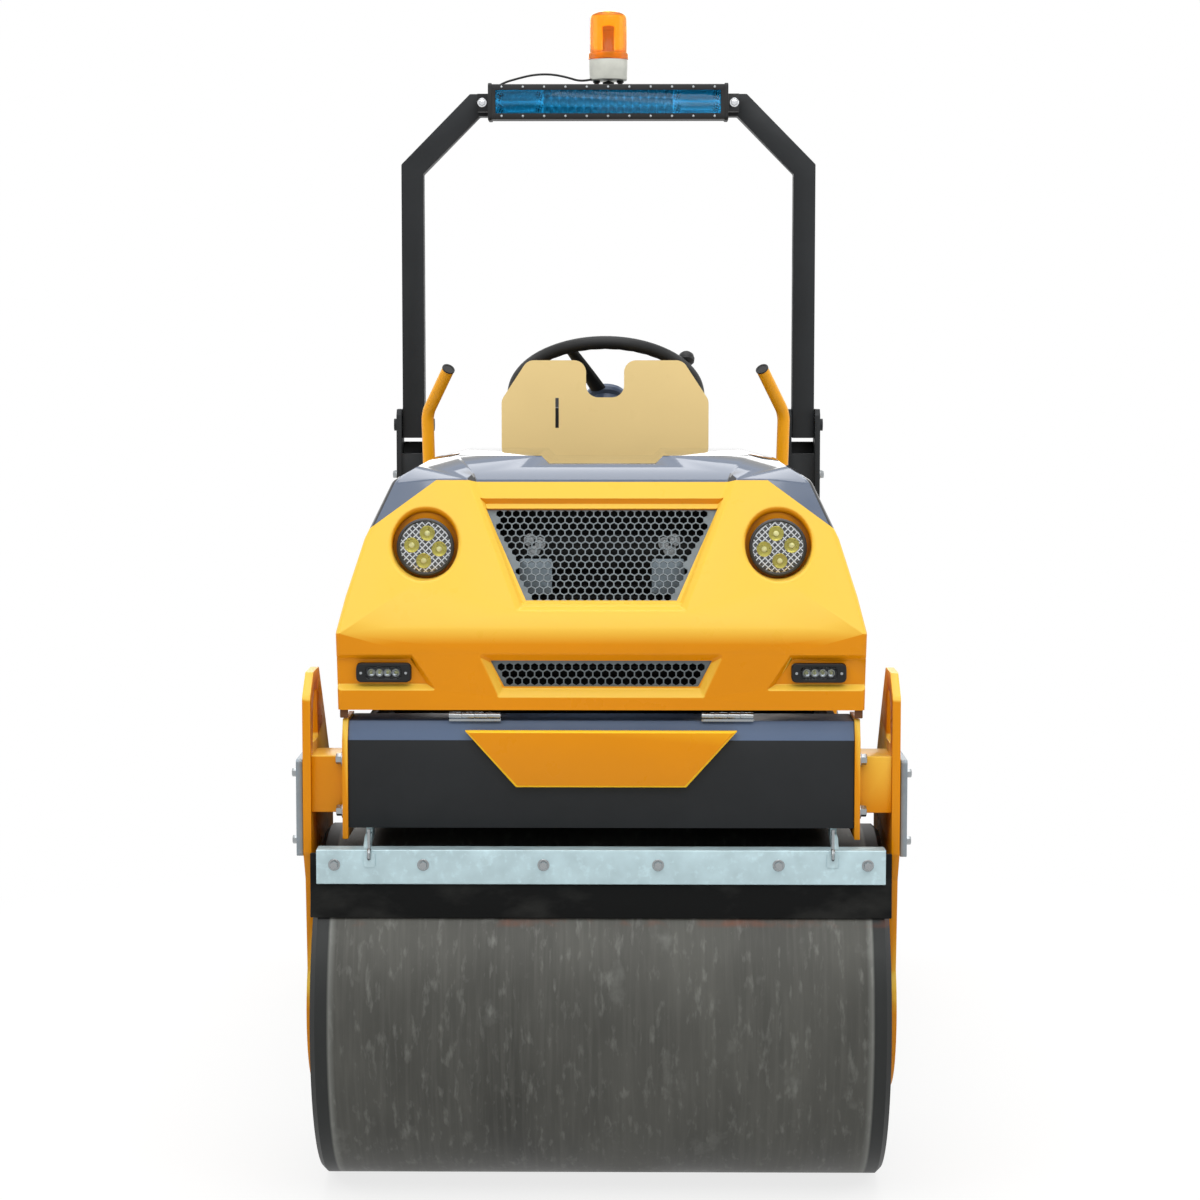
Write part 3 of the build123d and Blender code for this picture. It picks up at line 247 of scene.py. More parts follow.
def piece(name, shell, finish, body, replaced=(), crease=32):
    """Makes a mesh object from a shell, closes its seams, turns its faces outwards and puts it on its body."""
    points, faces = shell
    mesh = bpy.data.meshes.new(name)
    mesh.from_pydata(points.tolist(), [], faces.tolist())
    work = bmesh.new()
    work.from_mesh(mesh)
    bmesh.ops.remove_doubles(work, verts=work.verts, dist=2e-6)
    bmesh.ops.recalc_face_normals(work, faces=work.faces)
    work.to_mesh(mesh)
    work.free()
    mesh.shade_smooth()
    mesh.set_sharp_from_angle(angle=radians(crease))
    mesh.materials.append(FINISH[finish])
    thing = bpy.data.objects.new(name, mesh)
    bpy.context.scene.collection.objects.link(thing)
    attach(thing, body)
    if replaced:
        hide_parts(*replaced)
    return thing


# ---- finishes --------------------------------------------------------------------
def add_node(near, kind, inputs=(), output=0, **settings):
    """Adds a node, with its settings, to a tree or beside a socket in it, and returns one of its outputs. An input
    is a value, or an output to link."""
    tree = near.id_data
    node = tree.nodes.new("ShaderNode" + kind)
    for key, value in settings.items():
        setattr(node, key, value)
    for key, value in (inputs.items() if isinstance(inputs, dict) else enumerate(inputs)):
        if isinstance(value, bpy.types.NodeSocket):
            tree.links.new(value, node.inputs[key])
        else:
            node.inputs[key].default_value = value
    return node.outputs[output]


def solid(name, rgb, roughness, metallic=0.0, **sockets):
    """A material with one principled shader, its plain values set on the shader's own sockets, and its place."""
    material = bpy.data.materials.new(name)
    material.use_nodes = True
    shader = material.node_tree.nodes["Principled BSDF"].inputs
    shader["Base Color"].default_value = (*rgb, 1)
    shader["Roughness"].default_value = roughness
    shader["Metallic"].default_value = metallic
    for key, value in sockets.items():
        shader[key.replace("_", " ")].default_value = value
    return material, shader, add_node(material.node_tree, "TexCoord", output="Object")


def grain(place, size, detail, stretch=(1, 1, 1)):
    """Noise whose grains are about that many metres across, drawn out along an axis by a small stretch value."""
    spread = add_node(place, "Mapping", {"Scale": tuple(s / size for s in stretch), "Vector": place})
    return add_node(place, "TexNoise", {"Scale": 1.0, "Detail": detail, "Roughness": 0.55, "Vector": spread})


def patches(place, size, detail, low, high, start=0.3, end=0.7):
    """Grain of that size, its range from start to end taken to a range of values."""
    return add_node(place, "MapRange", (grain(place, size, detail), start, end, low, high))


def overlay(shader, rgb, pattern, start=0.3, end=0.7, most=1.0):
    """Lays a colour over the base colour so far: none where the pattern is at its start, the most from its end."""
    base = shader["Base Color"]
    below = base.links[0].from_socket if base.is_linked else tuple(base.default_value)
    amount = add_node(base, "MapRange", (pattern, start, end, 0, most))
    base.id_data.links.new(add_node(base, "Mix", {0: amount, 6: below, 7: (*rgb, 1)}, 2, data_type="RGBA"), base)


def fitted(material, roughness=None, height=None, depth=0.0):
    """Gives a material's shader a roughness pattern, and a relief as high as that depth in metres."""
    tree = material.node_tree
    shader = tree.nodes["Principled BSDF"].inputs
    if roughness:
        tree.links.new(roughness, shader["Roughness"])
    if height:
        bump = add_node(tree, "Bump", {"Strength": 1.0, "Distance": depth, "Height": height})
        tree.links.new(bump, shader["Normal"])
    return material


def shaded(rgb, factor):
    """A colour made lighter or darker by a factor."""
    return tuple(min(1.0, channel * factor) for channel in rgb)


def leaning(place):
    """One on faces that lean back from upright and look forwards or backwards, nought on flat and upright ones."""
    normal = add_node(place, "TexCoord", output="Normal")
    ahead, aside = [add_node(place, "Math", (add_node(place, "SeparateXYZ", (normal,), axis),), operation="ABSOLUTE")
                    for axis in "YX"]
    rise = add_node(place, "SeparateXYZ", (normal,), "Z")
    first, second, third = [add_node(place, "MapRange", (part, start, end, 0, 1)) for part, start, end in
                            ((ahead, 0.3, 0.4), (rise, 0.3, 0.4), (aside, 0.3, 0.15))]
    both = add_node(place, "Math", (first, second), operation="MULTIPLY")
    return add_node(place, "Math", (both, third), operation="MULTIPLY")


def sprayed_enamel(name, rgb, upward_light_tint, edge=None):
    """Two-pack enamel sprayed on steel sheet: a clear gloss with a faint orange peel, paler on faces that look up,
    which is painted light from above.
    """
    material, shader, place = solid(name, rgb, 0.32, Coat_Weight=0.12, Coat_Roughness=0.16,
                                    Specular_IOR_Level=0.12)
    overlay(shader, shaded(rgb, 0.92), grain(place, 0.35, 3))
    normal = add_node(place, "TexCoord", output="Normal")
    rise = add_node(place, "SeparateXYZ", (normal,), "Z")
    # Painted highlight: faces that look up are tinted towards the given colour, standing in for the light from above.
    overlay(shader, upward_light_tint, rise, 0.06, 0.32, 0.9)
    # Faces that look neither forwards nor backwards, such as a raised plate's edges, take the edge colour.
    if edge:
        facing = add_node(place, "Math", (add_node(place, "SeparateXYZ", (normal,), "Y"),), operation="ABSOLUTE")
        overlay(shader, edge, facing, 0.95, 0.8)
    # Real orange peel is about 1.5 mm across; 4 mm is the finest that shows at this size.
    return fitted(material, patches(place, 0.06, 5, 0.25, 0.38), grain(place, 4 * MM, 2), 0.02 * MM)


def powder_coat(name, rgb, fold_reflection=None):
    """Epoxy powder baked on steel: satin, finely pimpled, greyer where it is handled, and lighter on a folded-back
    band, a painted reflection of the sky.
    """
    material, shader, place = solid(name, shaded(rgb, 0.85), 0.5, Specular_IOR_Level=0.2)
    overlay(shader, shaded(rgb, 1.25), grain(place, 0.22, 6))
    if fold_reflection:
        height = add_node(place, "SeparateXYZ", (place,), "Z")
        # Painted reflection: from the folding height up, the colour of the sky seen in the band is painted on.
        overlay(shader, fold_reflection, height, FOLD_HEIGHT, FOLD_HEIGHT + 1 * MM)
    # Powder pimples are about 1 mm across, drawn at 3 mm.
    return fitted(material, patches(place, 0.05, 6, 0.42, 0.58), grain(place, 3 * MM, 3), 0.05 * MM)


def gloss_panel(name, rgb, bevel):
    """Moulded plastic sheet with a polished lacquer: near black and mirror bright, its bevels painted blue-grey as a
    painted reflection of the sky.
    """
    material, shader, place = solid(name, rgb, 0.12, Coat_Weight=1.0, Coat_Roughness=0.04)
    overlay(shader, shaded(rgb, 1.3), grain(place, 0.1, 4))
    # Painted reflection: bevels that lean back are painted blue-grey, standing in for the sky seen in them.
    overlay(shader, bevel, leaning(place), 0, 1)
    return fitted(material, patches(place, 0.05, 4, 0.08, 0.17))


def galvanized_steel(name, rgb):
    """Zinc-plated steel passivated pale blue, with soft patches about 50 mm across and fine rubbing."""
    material, shader, place = solid(name, shaded(rgb, 0.86), 0.42, 0.35)
    overlay(shader, shaded(rgb, 1.1), grain(place, 0.05, 5))
    overlay(shader, shaded(rgb, 1.5), grain(place, 0.012, 7), 0.55, 0.75, 0.35)
    return fitted(material, patches(place, 0.05, 5, 0.34, 0.5))


def rolled_steel(name, rgb):
    """Rolled steel plate bent to a drum: soft clouds, faint rings round it, pale scuffs, rust, and dark ends painted
    as the shade of a shallow turned bevel that is not modelled.
    """
    material, shader, place = solid(name, shaded(rgb, 0.6), 0.5, 0.3, Specular_IOR_Level=0.25)
    clouds = grain(place, 0.24, 6, (1, 0.5, 0.5))
    rings = grain(place, 0.008, 5, (1, 0.05, 0.05))
    marks = grain(place, 0.06, 15, (1, 0.7, 0.7))
    scratches = grain(place, 0.012, 12, (1, 0.3, 0.3))
    outward = add_node(place, "Math", (add_node(place, "SeparateXYZ", (place,), "X"),), operation="ABSOLUTE")
    # Rust shows in patches on a strip 10 mm high, where the drum comes out from under its scraper.
    height = add_node(place, "SeparateXYZ", (place,), "Z")
    sides = [add_node(place, "MapRange", (height, start, end, 0, 1)) for start, end in ((0.494, 0.499), (0.51, 0.505))]
    strip = add_node(place, "Math", sides, operation="MULTIPLY")
    rust = add_node(place, "Math", (strip, patches(place, 0.09, 6, 0, 0.45, 0.48, 0.66)), operation="MULTIPLY")
    overlay(shader, shaded(rgb, 1.35), clouds, 0.32, 0.68)
    # The dark band at each end is painted shade of the ends' shallow bevel.
    for over, pattern, start, end, most in (
            (shaded(rgb, 2.0), rings, 0.45, 0.8, 0.3), (linear("8F918C"), marks, 0.6, 0.86, 0.4),
            (linear("A6A8A2"), scratches, 0.56, 0.8, 0.25), (linear("8E908C"), outward, 0.457, 0.466, 0.35),
            (linear("1D1F20"), outward, 0.467, 0.471, 0.92), (linear("7A3A14"), rust, 0, 1, 1)):
        overlay(shader, over, pattern, start, end, most)
    return fitted(material, add_node(place, "MapRange", (clouds, 0.3, 0.7, 0.4, 0.6)), marks, 0.25 * MM)


def moulded_plastic(name, rgb, roughness=0.5):
    """Injection-moulded plastic with a fine spark-eroded grain."""
    material, shader, place = solid(name, shaded(rgb, 0.88), roughness, Specular_IOR_Level=0.3)
    overlay(shader, shaded(rgb, 1.1), grain(place, 0.04, 5))
    return fitted(material, height=grain(place, 2.2 * MM, 2), depth=0.06 * MM)


def cooling_fins(name, rgb):
    """Pressed aluminium fins under black paint: fine level lines 7 mm apart, painted lighter on each fin as its
    highlight and darker between as shade, dusty in the gaps.
    """
    material, shader, place = solid(name, shaded(rgb, 0.4), 0.6, Specular_IOR_Level=0.15)
    height = add_node(place, "SeparateXYZ", (place,), "Z")
    fin = add_node(place, "Math", (add_node(place, "Math", (height, 1 / (7 * MM)), operation="MULTIPLY"),),
                   operation="FRACT")
    # Painted highlight and shade: the upper part of each 7 mm step is painted lighter than the rest.
    overlay(shader, shaded(rgb, 1.8), fin, 0.4, 0.6)
    overlay(shader, linear("3A3A38"), grain(place, 0.05, 6), 0.5, 0.8, 0.5)
    return fitted(material, height=fin, depth=0.8 * MM)


def sheet_rubber(name, rgb):
    """Extruded black rubber, matt, with a faint grey dust along it."""
    material, shader, place = solid(name, rgb, 0.75, Specular_IOR_Level=0.12)
    overlay(shader, linear("3A3A38"), grain(place, 0.06, 7, (0.5, 1, 1)), 0.5, 0.85, 0.6)
    return fitted(material, height=grain(place, 4 * MM, 4), depth=0.15 * MM)


def bright_metal(name, rgb, roughness, metallic=1.0):
    """Plated or drawn metal with a fine brushed unevenness."""
    material, _, place = solid(name, rgb, roughness, metallic)
    return fitted(material, patches(place, 0.012, 6, roughness * 0.7, roughness * 1.5))


def hatched_reflector(name, rgb):
    """Aluminised plastic with two sets of ridges crossed at right angles, 8 mm apart: its ridges painted bright as a
    painted highlight and its grooves painted nearly black as painted shade.
    """
    material, shader, place = solid(name, shaded(rgb, 0.12), 0.2, 0.9)
    slant = add_node(place, "Mapping", {"Rotation": (0, radians(45), 0), "Vector": place})
    ridges = []
    for axis in "XZ":
        across = add_node(place, "SeparateXYZ", (slant,), axis)
        spaced = add_node(place, "Math", (across, 1 / (8 * MM)), operation="MULTIPLY")
        ridges.append(add_node(place, "Math", (spaced,), operation="FRACT"))
    high = add_node(place, "Math", ridges, operation="MAXIMUM")
    # Painted highlight and shade: the ridges take the bright colour and the grooves keep the dark base.
    overlay(shader, rgb, high, 0.7, 0.8)
    return fitted(material, height=high, depth=1.2 * MM)


def pressed_reflector(name, rgb, ridge):
    """Aluminised plastic pressed into bowls 14 mm deep: its ridges painted bright as catching the light and its bowls
    painted dark as their shade.
    """
    material, shader, place = solid(name, rgb, 0.3, 0.15)
    depth_for_painted_shade = add_node(place, "SeparateXYZ", (place,), "Y")
    # Painted shade: the deeper a point lies in its bowl, the darker it is painted.
    overlay(shader, shaded(rgb, 0.38), depth_for_painted_shade, ridge + 1 * MM, ridge + 8 * MM)
    overlay(shader, rgb, grain(place, 6 * MM, 3), 0.5, 0.7, 0.3)
    return material


def clear_lens(name, rgb, roughness, wall=1.0):
    """Polycarbonate, clear or coloured all through, a little uneven in its polish."""
    material, shader, place = solid(name, rgb, roughness, Transmission_Weight=wall, IOR=1.3,
                                    Specular_IOR_Level=0.2)
    overlay(shader, shaded(rgb, 0.94), grain(place, 0.03, 3))
    return material


def cast_iron(name, rgb):
    """Sand-cast iron under thin black paint, rough and uneven, with lighter patches at random."""
    material, shader, place = solid(name, shaded(rgb, 0.45), 0.65, 0.1, Specular_IOR_Level=0.15)
    overlay(shader, shaded(rgb, 1.6), grain(place, 0.05, 7))
    return fitted(material, height=grain(place, 3 * MM, 5), depth=0.4 * MM)


def seat_vinyl(name, rgb):
    """Expanded vinyl with a pressed leather grain, soft satin, greyer where it is rubbed."""
    material, shader, place = solid(name, rgb, 0.55, Specular_IOR_Level=0.3)
    overlay(shader, shaded(rgb, 2.0), grain(place, 0.12, 5))
    # Leather cells are about 1 mm across, drawn at 2.5 mm.
    cells = add_node(place, "TexVoronoi", {"Scale": 1 / (2.5 * MM), "Vector": place}, "Distance",
                     feature="DISTANCE_TO_EDGE")
    return fitted(material, height=cells, depth=0.25 * MM)


FINISH = {}


def make_finishes(colours):
    """Every finish, each named for the real material."""
    sky_reflection_tint = linear("5A6A84")
    bright = linear("FFC824")
    dark = colours.frame_coat[:]
    FINISH.update(
        # The third colour of each sprayed enamel is painted light, laid on its faces that look up.
        enamel=sprayed_enamel("two-pack enamel on steel", colours.enamel[:], linear("EEC44A")),
        badge=sprayed_enamel("two-pack enamel with brighter edges", colours.enamel[:], bright, bright),
        poles=sprayed_enamel("two-pack enamel on tube", linear("F2A51A"), linear("ECBE38")),
        cream=sprayed_enamel("pale enamel on steel", linear("FADC9A"), linear("F3CE8C")),
        coat=powder_coat("epoxy powder coat", dark),
        beam=powder_coat("epoxy powder coat with painted sky reflection on bevels", shaded(dark, 0.75), sky_reflection_tint),
        gloss=gloss_panel("lacquered plastic panel", linear("101113"), shaded(sky_reflection_tint, 0.7)),
        zinc=galvanized_steel("passivated zinc plate", linear("B4CBD1")),
        guard=galvanized_steel("dull zinc plate", linear("87949D")),
        drum=rolled_steel("rolled drum steel", linear("4A4A46")),
        rubber=sheet_rubber("extruded rubber", linear("0D0E0E")),
        black=moulded_plastic("moulded black plastic", linear("111213")),
        hub=moulded_plastic("moulded blue-grey plastic", linear("46536A"), 0.3),
        grey=moulded_plastic("moulded grey plastic", linear("C4C5BC"), 0.45),
        rust=powder_coat("browned steel", linear("5A3A22")),
        bezel=moulded_plastic("moulded dark grey plastic", linear("3A3B3C"), 0.35),
        fins=cooling_fins("painted aluminium fins", linear("0C0D0E")),
        bolt=bright_metal("zinc-plated steel", linear("9A9EA0"), 0.25),
        wire=bright_metal("painted steel mesh", linear("5C6468"), 0.4, 0.25),
        mirror=bright_metal("aluminised reflector", linear("DCDEE0"), 0.12),
        pressed=pressed_reflector("pressed aluminised plastic", linear("F4F6F8"),
                                  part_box("light_bar_lens")[1][1] + 3 * MM),
        # Painted reflection: the bowls' metal is tinted yellow for the diodes' phosphor seen in them.
        bowl=bright_metal("reflector with painted yellow diode reflection", linear("A8A03C"), 0.3, 0.5),
        post=moulded_plastic("moulded brown plastic", linear("B45A10"), 0.3),
        cable=moulded_plastic("cable sheath", linear("121314"), 0.4),
        hatch=hatched_reflector("ridged aluminised plastic", linear("D5D8DA")),
        chrome=bright_metal("hard chrome", linear("D5D7DA"), 0.1),
        lens=clear_lens("clear polycarbonate lens", linear("FFFFFF"), 0.02),
        smoke=clear_lens("smoked polycarbonate lens", linear("C2C5C8"), 0.04),
        film=clear_lens("blue film on polycarbonate", colours.film[:], 0.02),
        amber=clear_lens("amber polycarbonate", colours.beacon[:], 0.06, 0.85),
        flange=clear_lens("thick amber polycarbonate", linear("F09018"), 0.1, 0.5),
        red=clear_lens("red polycarbonate", linear("C01008"), 0.08, 0.3),
        diode=moulded_plastic("phosphor under silicone", linear("E9E6A0"), 0.25),
        iron=cast_iron("painted cast iron", linear("161718")),
        vinyl=seat_vinyl("expanded vinyl", colours.vinyl[:]),
    )


# The nodes that each finish covers; a star stands for front and rear.
COATED = {
    "enamel": "*_side_plates *_cross_arms hood_shell rear_body",
    "poles": "grab_poles",
    "badge": "badge_plate",
    "cream": "dash_plate",
    "beam": "*_cross_box",
    "coat": "*_chassis *_hub_carriers rops_brackets rops_hoop dash_console floor_plate seat_base steering_column "
            "steering_barrel pivot_knuckle",
    "gloss": "hood_cover",
    "zinc": "*_scraper_bar",
    "guard": "*_side_guards",
    "drum": "*_drum",
    "rubber": "*_scraper_strip",
    "iron": "engine_block",
    "fins": "radiator",
    "chrome": "steering_rod",
    "black": "travel_lever light_bar",
    "wire": "hood_grilles",
    "film": "light_bar_lens",
    "red": "tail_lamps",
    "bolt": "hood_hinges",
}
# Nodes whose edges stay crisp: round ones, and those with large flat faces that a bevel would shade unevenly.
CRISP = ("front_drum rear_drum front_hub_carriers rear_hub_carriers steering_rod grab_poles pivot_knuckle "
         "steering_barrel steering_column travel_lever hood_grilles dash_plate hood_cover hood_shell").split()


def dress(node, material, edge):
    """Gives a CAD node its finish, joins its loose triangles, and rounds its sharp edges or keeps them crisp."""
    thing = frame["nodes"][node]
    if not thing.material_slots:
        thing.data.materials.append(material)
    for holder in thing.material_slots:
        holder.material = material
    thing.data.shade_smooth()
    weld = thing.modifiers.new("Join triangles", "WELD")
    weld.merge_threshold = 1e-5
    if node in CRISP:
        split = thing.modifiers.new("Crisp edges", "EDGE_SPLIT")
        split.split_angle = radians(32)
        return
    bevel = thing.modifiers.new("Rounded edges", "BEVEL")
    bevel.width = edge
    bevel.segments = 2
    bevel.limit_method = "ANGLE"
    bevel.angle_limit = radians(35)
    bevel.harden_normals = True


class ROLLER_OT_frame(Operator):
    """Give every CAD node that shows its finish and rounded edges"""
    bl_idname = "roller.frame"
    bl_label = "Finish the frame"

    def execute(self, context):
        for finish, nodes in COATED.items():
            for node in nodes.split():
                for end in ("front", "rear") if "*" in node else ("",):
                    dress(node.replace("*", end), FINISH[finish], context.scene.roller_sizes.edge)
        return {"FINISHED"}


# ---- lamps ---------------------------------------------------------------------
# The work lamp's profiles are pairs of (radius, height), drawn in millimetres for a lamp of this radius.
LAMP_RADIUS = 51
LAMP_BEZEL = ((0, 22), (44, 22), (47, 20), (49, 18), (51, 8), (51, 3), (49.5, 0.8), (47.5, 0), (46.6, 0.6),
              (45.6, 2.4), (45.4, 4), (45.3, 9), (44, 12), (0, 12))
LAMP_PLATE = ((0, 7), (44.6, 7), (45, 8), (45, 11.5), (0, 11.5))
LAMP_BOWL = ((13.4, 7.2), (13.4, 4.6), (12.6, 4.2), (11.4, 4.8), (8, 6.0), (0, 6.4))
LAMP_DIODE = ((0, 2.4), (2.6, 2.7), (4.4, 3.8), (5.0, 6.1), (0, 6.3))
LAMP_GLASS = ((0, 1.5), (20, 1.6), (38, 2.1), (45, 3.2), (45.2, 2.4), (38, 0.7), (20, -0.2), (0, -0.5))
DIODE_CIRCLE, DIODE_TURN = 24.5, radians(8)
MARKER_BOWL = ((6.7, 7.2), (6.7, 4.4), (6.0, 4.2), (5.2, 5.2), (3, 6.4), (0, 6.8))
MARKER_DIODE = ((0, 4.4), (1.6, 4.7), (2.6, 5.6), (2.8, 6.7), (0, 6.8))
MARKER_WIDTH = 95 * MM
MARKER_DIODES = (-21, -7, 7, 21)


class ROLLER_OT_lamps(Operator):
    """Make the round work lamps and the marker lamps"""
    bl_idname = "roller.lamps"
    bl_label = "Lamps"

    def execute(self, context):
        low, high = corners("round_lamps")
        radius = (high[2] - low[2]) / 2
        centre = np.array((high[0] - radius, low[1], (low[2] + high[2]) / 2))
        unit = radius / LAMP_RADIUS
        turn = around(4) + DIODE_TURN
        spots = centre + np.stack((np.cos(turn), 0 * turn, np.sin(turn)), -1) * DIODE_CIRCLE * unit
        for name, profile, places, steps, finish, replaced in (
                ("lamp_bezels", LAMP_BEZEL, [centre], 64, "bezel", ["round_lamps"]),
                ("lamp_plates", LAMP_PLATE, [centre], 64, "hatch", ()),
                ("lamp_bowls", LAMP_BOWL, spots, 28, "bowl", ()),
                ("lamp_diodes", LAMP_DIODE, spots, 20, "diode", ()),
                ("lamp_lenses", LAMP_GLASS, [centre], 64, "lens", ())):
            shell = mirrored(copies(profile, places, Y_AXIS, steps, unit))
            piece(name, shell, finish, "hood", replaced)
        self.markers()
        return {"FINISHED"}

    def markers(self):
        """Four diodes in small bowls behind a smoked lens, in a moulded body with a screw at each end."""
        low, high = corners("marker_lamps")
        centre = np.array((high[0] - MARKER_WIDTH / 2, low[1], (low[2] + high[2]) / 2))
        outline = rounded(MARKER_WIDTH, high[2] - low[2], 9 * MM)
        window = rounded(62 * MM, 21 * MM, 6 * MM)
        back = slab(outline, centre + (0, 18 * MM, 0), X_AXIS, Z_AXIS, 11 * MM, 1 * MM)
        front = framed(outline, window, centre + (0, 8 * MM, 0), X_AXIS, Z_AXIS, 7.5 * MM, 1.5 * MM)
        lens = slab(window, centre + (0, 3.4 * MM, 0), X_AXIS, Z_AXIS, 1.6 * MM, 0.5 * MM)
        places = centre + np.array([(x, 0, 0) for x in MARKER_DIODES]) * MM
        ends = centre + np.array(((-39, 0.6, 0), (39, 0.6, 0))) * MM
        for name, shell, finish, replaced in (
                ("marker_bodies", together(back, front), "black", ["marker_lamps"]),
                ("marker_lenses", lens, "smoke", ()),
                ("marker_bowls", copies(MARKER_BOWL, places, Y_AXIS, 20), "mirror", ()),
                ("marker_diodes", copies(MARKER_DIODE, places, Y_AXIS, 14), "diode", ()),
                ("marker_screws", bolts(ends, -Y_AXIS, 5 * MM, False), "bolt", ())):
            piece(name, mirrored(shell), finish, "hood", replaced)


# ---- bolts and small fittings: the places off the middle stand on both sides ------------
GUARD_BOLTS = [(y * MM, z * MM) for y in (-45, 45) for z in (-60, 60)]
ARM_BOLT_X, ARM_BOLT_Y, ARM_BOLTS_Z = 0.451, 0.935, (0.687, 0.778)
BRACKET_BOLTS = [(0.7 + y, 1.206) for y in (-0.018, 0.018)]
DASH_BOLT_Z = 1.27
LATCH = (0.448, -0.938, 0.862)
SCRAPER_BOLTS = (-461, -307, -99, 99, 307, 461)
SCRAPER_BOLT_Z, EYE_X, EYE_Z, TAB_Z = 603 * MM, 0.4, 622 * MM, 612 * MM
EYE_RADIUS, EYE_WIRE, EYE_STEM = 9, 3 * MM, (44, 30, 18)
POLE_END, POLE_RUN = np.array((0.315, -0.135, 1.452)), np.array((-48, -75, 90))
POLE_RING = ((0, -1), (12.9, -1), (13.2, -0.6), (13.2, 1.6), (12.6, 2.2), (9.5, 2.2), (9.2, 1.4), (0, 1.4))
SHROUD = (0, -0.736, 1.122)
DUCT_X, DUCT_Z = 0.118, 1.088
HOSES = ((0.128, 1.152), (0.112, 1.146), (0.121, 1.135))


class ROLLER_OT_fasteners(Operator):
    """Put the bolts on the scrapers, arms, guards and roll bar, and make the small fittings and the shroud"""
    bl_idname = "roller.fasteners"
    bl_label = "Bolts and fittings"

    def execute(self, context):
        size = context.scene.roller_sizes.bolt
        for end, name in FRONT_REAR:
            self.scraper(end, name)
            low, high = corners(f"{name}_side_guards")
            middle = (low + high) / 2
            rows = [(high[0], middle[1] + y, middle[2] + z) for y, z in GUARD_BOLTS]
            piece(f"{name}_guard_bolts", mirrored(bolts(rows, X_AXIS, 13 * MM)), "bolt", f"{name}_frame")
            rows = [(ARM_BOLT_X, end * ARM_BOLT_Y, z) for z in ARM_BOLTS_Z]
            piece(f"{name}_arm_bolts", mirrored(bolts(rows, X_AXIS, size)), "bolt", f"{name}_frame")
        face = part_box("rops_brackets")[1][0] - 8 * MM
        rows = [(face, y, z) for y, z in BRACKET_BOLTS]
        piece("bracket_bolts", mirrored(bolts(rows, X_AXIS, 14 * MM)), "bolt", "rear_frame")
        side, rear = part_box("dash_plate")[1][:2]
        rows = [(side, rear - 14 * MM, DASH_BOLT_Z)]
        piece("dash_bolts", mirrored(bolts(rows, X_AXIS, 9 * MM, False)), "black", "rear_frame")
        piece("hood_latches", mirrored(tile((14, 22, 2, 5, 1), LATCH)), "rust", "hood")
        cap = turned(POLE_RING, POLE_END, POLE_RUN, 32)
        piece("pole_caps", mirrored(cap), "black", "rear_frame")
        self.shroud()
        return {"FINISHED"}

    def scraper(self, end, name):
        """Six bolts along the scraper's bar, and two eye bolts that hang it under the cross box."""
        low, high = corners(f"{name}_scraper_bar")
        face = low[1] if end < 0 else high[1]
        rows = [(x * MM, face, SCRAPER_BOLT_Z) for x in SCRAPER_BOLTS]
        piece(f"{name}_scraper_bolts", bolts(rows, (0, end, 0), 13 * MM), "bolt", f"{name}_frame")
        turn = np.linspace(radians(-60), radians(250), 20)
        eye = np.stack((0 * turn, EYE_RADIUS * np.cos(turn), EYE_RADIUS * np.sin(turn)), -1)
        stem = np.array([(0, 0, z) for z in EYE_STEM])
        path = (np.concatenate((stem, eye[::-1])) * (1, -end, 1)) * MM + (EYE_X, face + end * 4 * MM, EYE_Z)
        piece(f"{name}_scraper_eyes", mirrored(tube(path, EYE_WIRE, X_AXIS)), "bolt", f"{name}_frame")
        tab = tile((20, 26, 3, 3, 0.6), (EYE_X, face, TAB_Z), X_AXIS * -end)
        piece(f"{name}_scraper_tabs", mirrored(tab), "zinc", f"{name}_frame")

    def shroud(self):
        """The radiator's fan shroud, a dark plate close behind the core that also stands in for the shade inside the
        hood, and the duct plates and hoses before it.
        """
        # The plate's near-black also stands in for the shade seen inside the hood.
        piece("radiator_shroud", tile((450, 200, 20, 6, 1), SHROUD), "iron", "front_frame")
        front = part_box("radiator")[0][1]
        duct = tile((58, 62, 4, 8, 1), (DUCT_X, front, DUCT_Z))
        piece("duct_plates", mirrored(duct), "guard", "front_frame")
        rows = [(x, front, z) for x, z in HOSES]
        piece("hose_fittings", mirrored(bolts(rows, -Y_AXIS, 15 * MM)), "bolt", "front_frame")


# ---- beacon and light bar ------------------------------------------------------------
LEAD = np.array(((-36, 684, 2106), (-60, 676, 2099), (-95, 666, 2109), (-130, 660, 2115), (-170, 652, 2113),
                 (-208, 645, 2103), (-240, 640, 2093), (-256, 637, 2081))) * MM
# The beacon's profiles are pairs of (radius, height) in millimetres, for a flange of this width.
BEACON_WIDTH = 92
DOME_OUTSIDE = ((43.4, 15), (42.9, 20), (42.4, 60), (41.9, 92), (41.0, 97), (38.5, 101), (32, 105), (20, 108.6),
                (9, 109.8), (0, 110))
DOME_INSIDE = ((0, 106), (18, 105), (31, 101.5), (37, 97.5), (38.6, 92), (39.4, 60), (39.8, 15), (43.4, 15))
RIBS, RIB_DEPTH = 30, 0.012
FLANGE = ((40.2, 0.4), (44, 0), (46, 1.5), (46, 12.5), (44.8, 14.4), (40.2, 14.4), (40.2, 0.4))
BEACON_LAMP = ((0, 0.5), (27, 0.5), (27, 6), (16, 8), (13, 9), (13, 64), (15, 66), (15, 74), (10, 77), (0, 78))
COLLAR = ((0, 32), (41, 32), (42.6, 33.5), (43.6, 60), (44, 76), (43, 78.6), (0, 78.6))
STUD = ((0, 3), (7, 3), (7, 9), (5.5, 10), (5.5, 26), (8, 27), (8, 32.2), (0, 32.2))
NUT = ((0, 3), (11, 3), (11, 12), (9, 20), (13, 23), (13, 28), (0, 32.2))
STUDS_X = 27 * MM


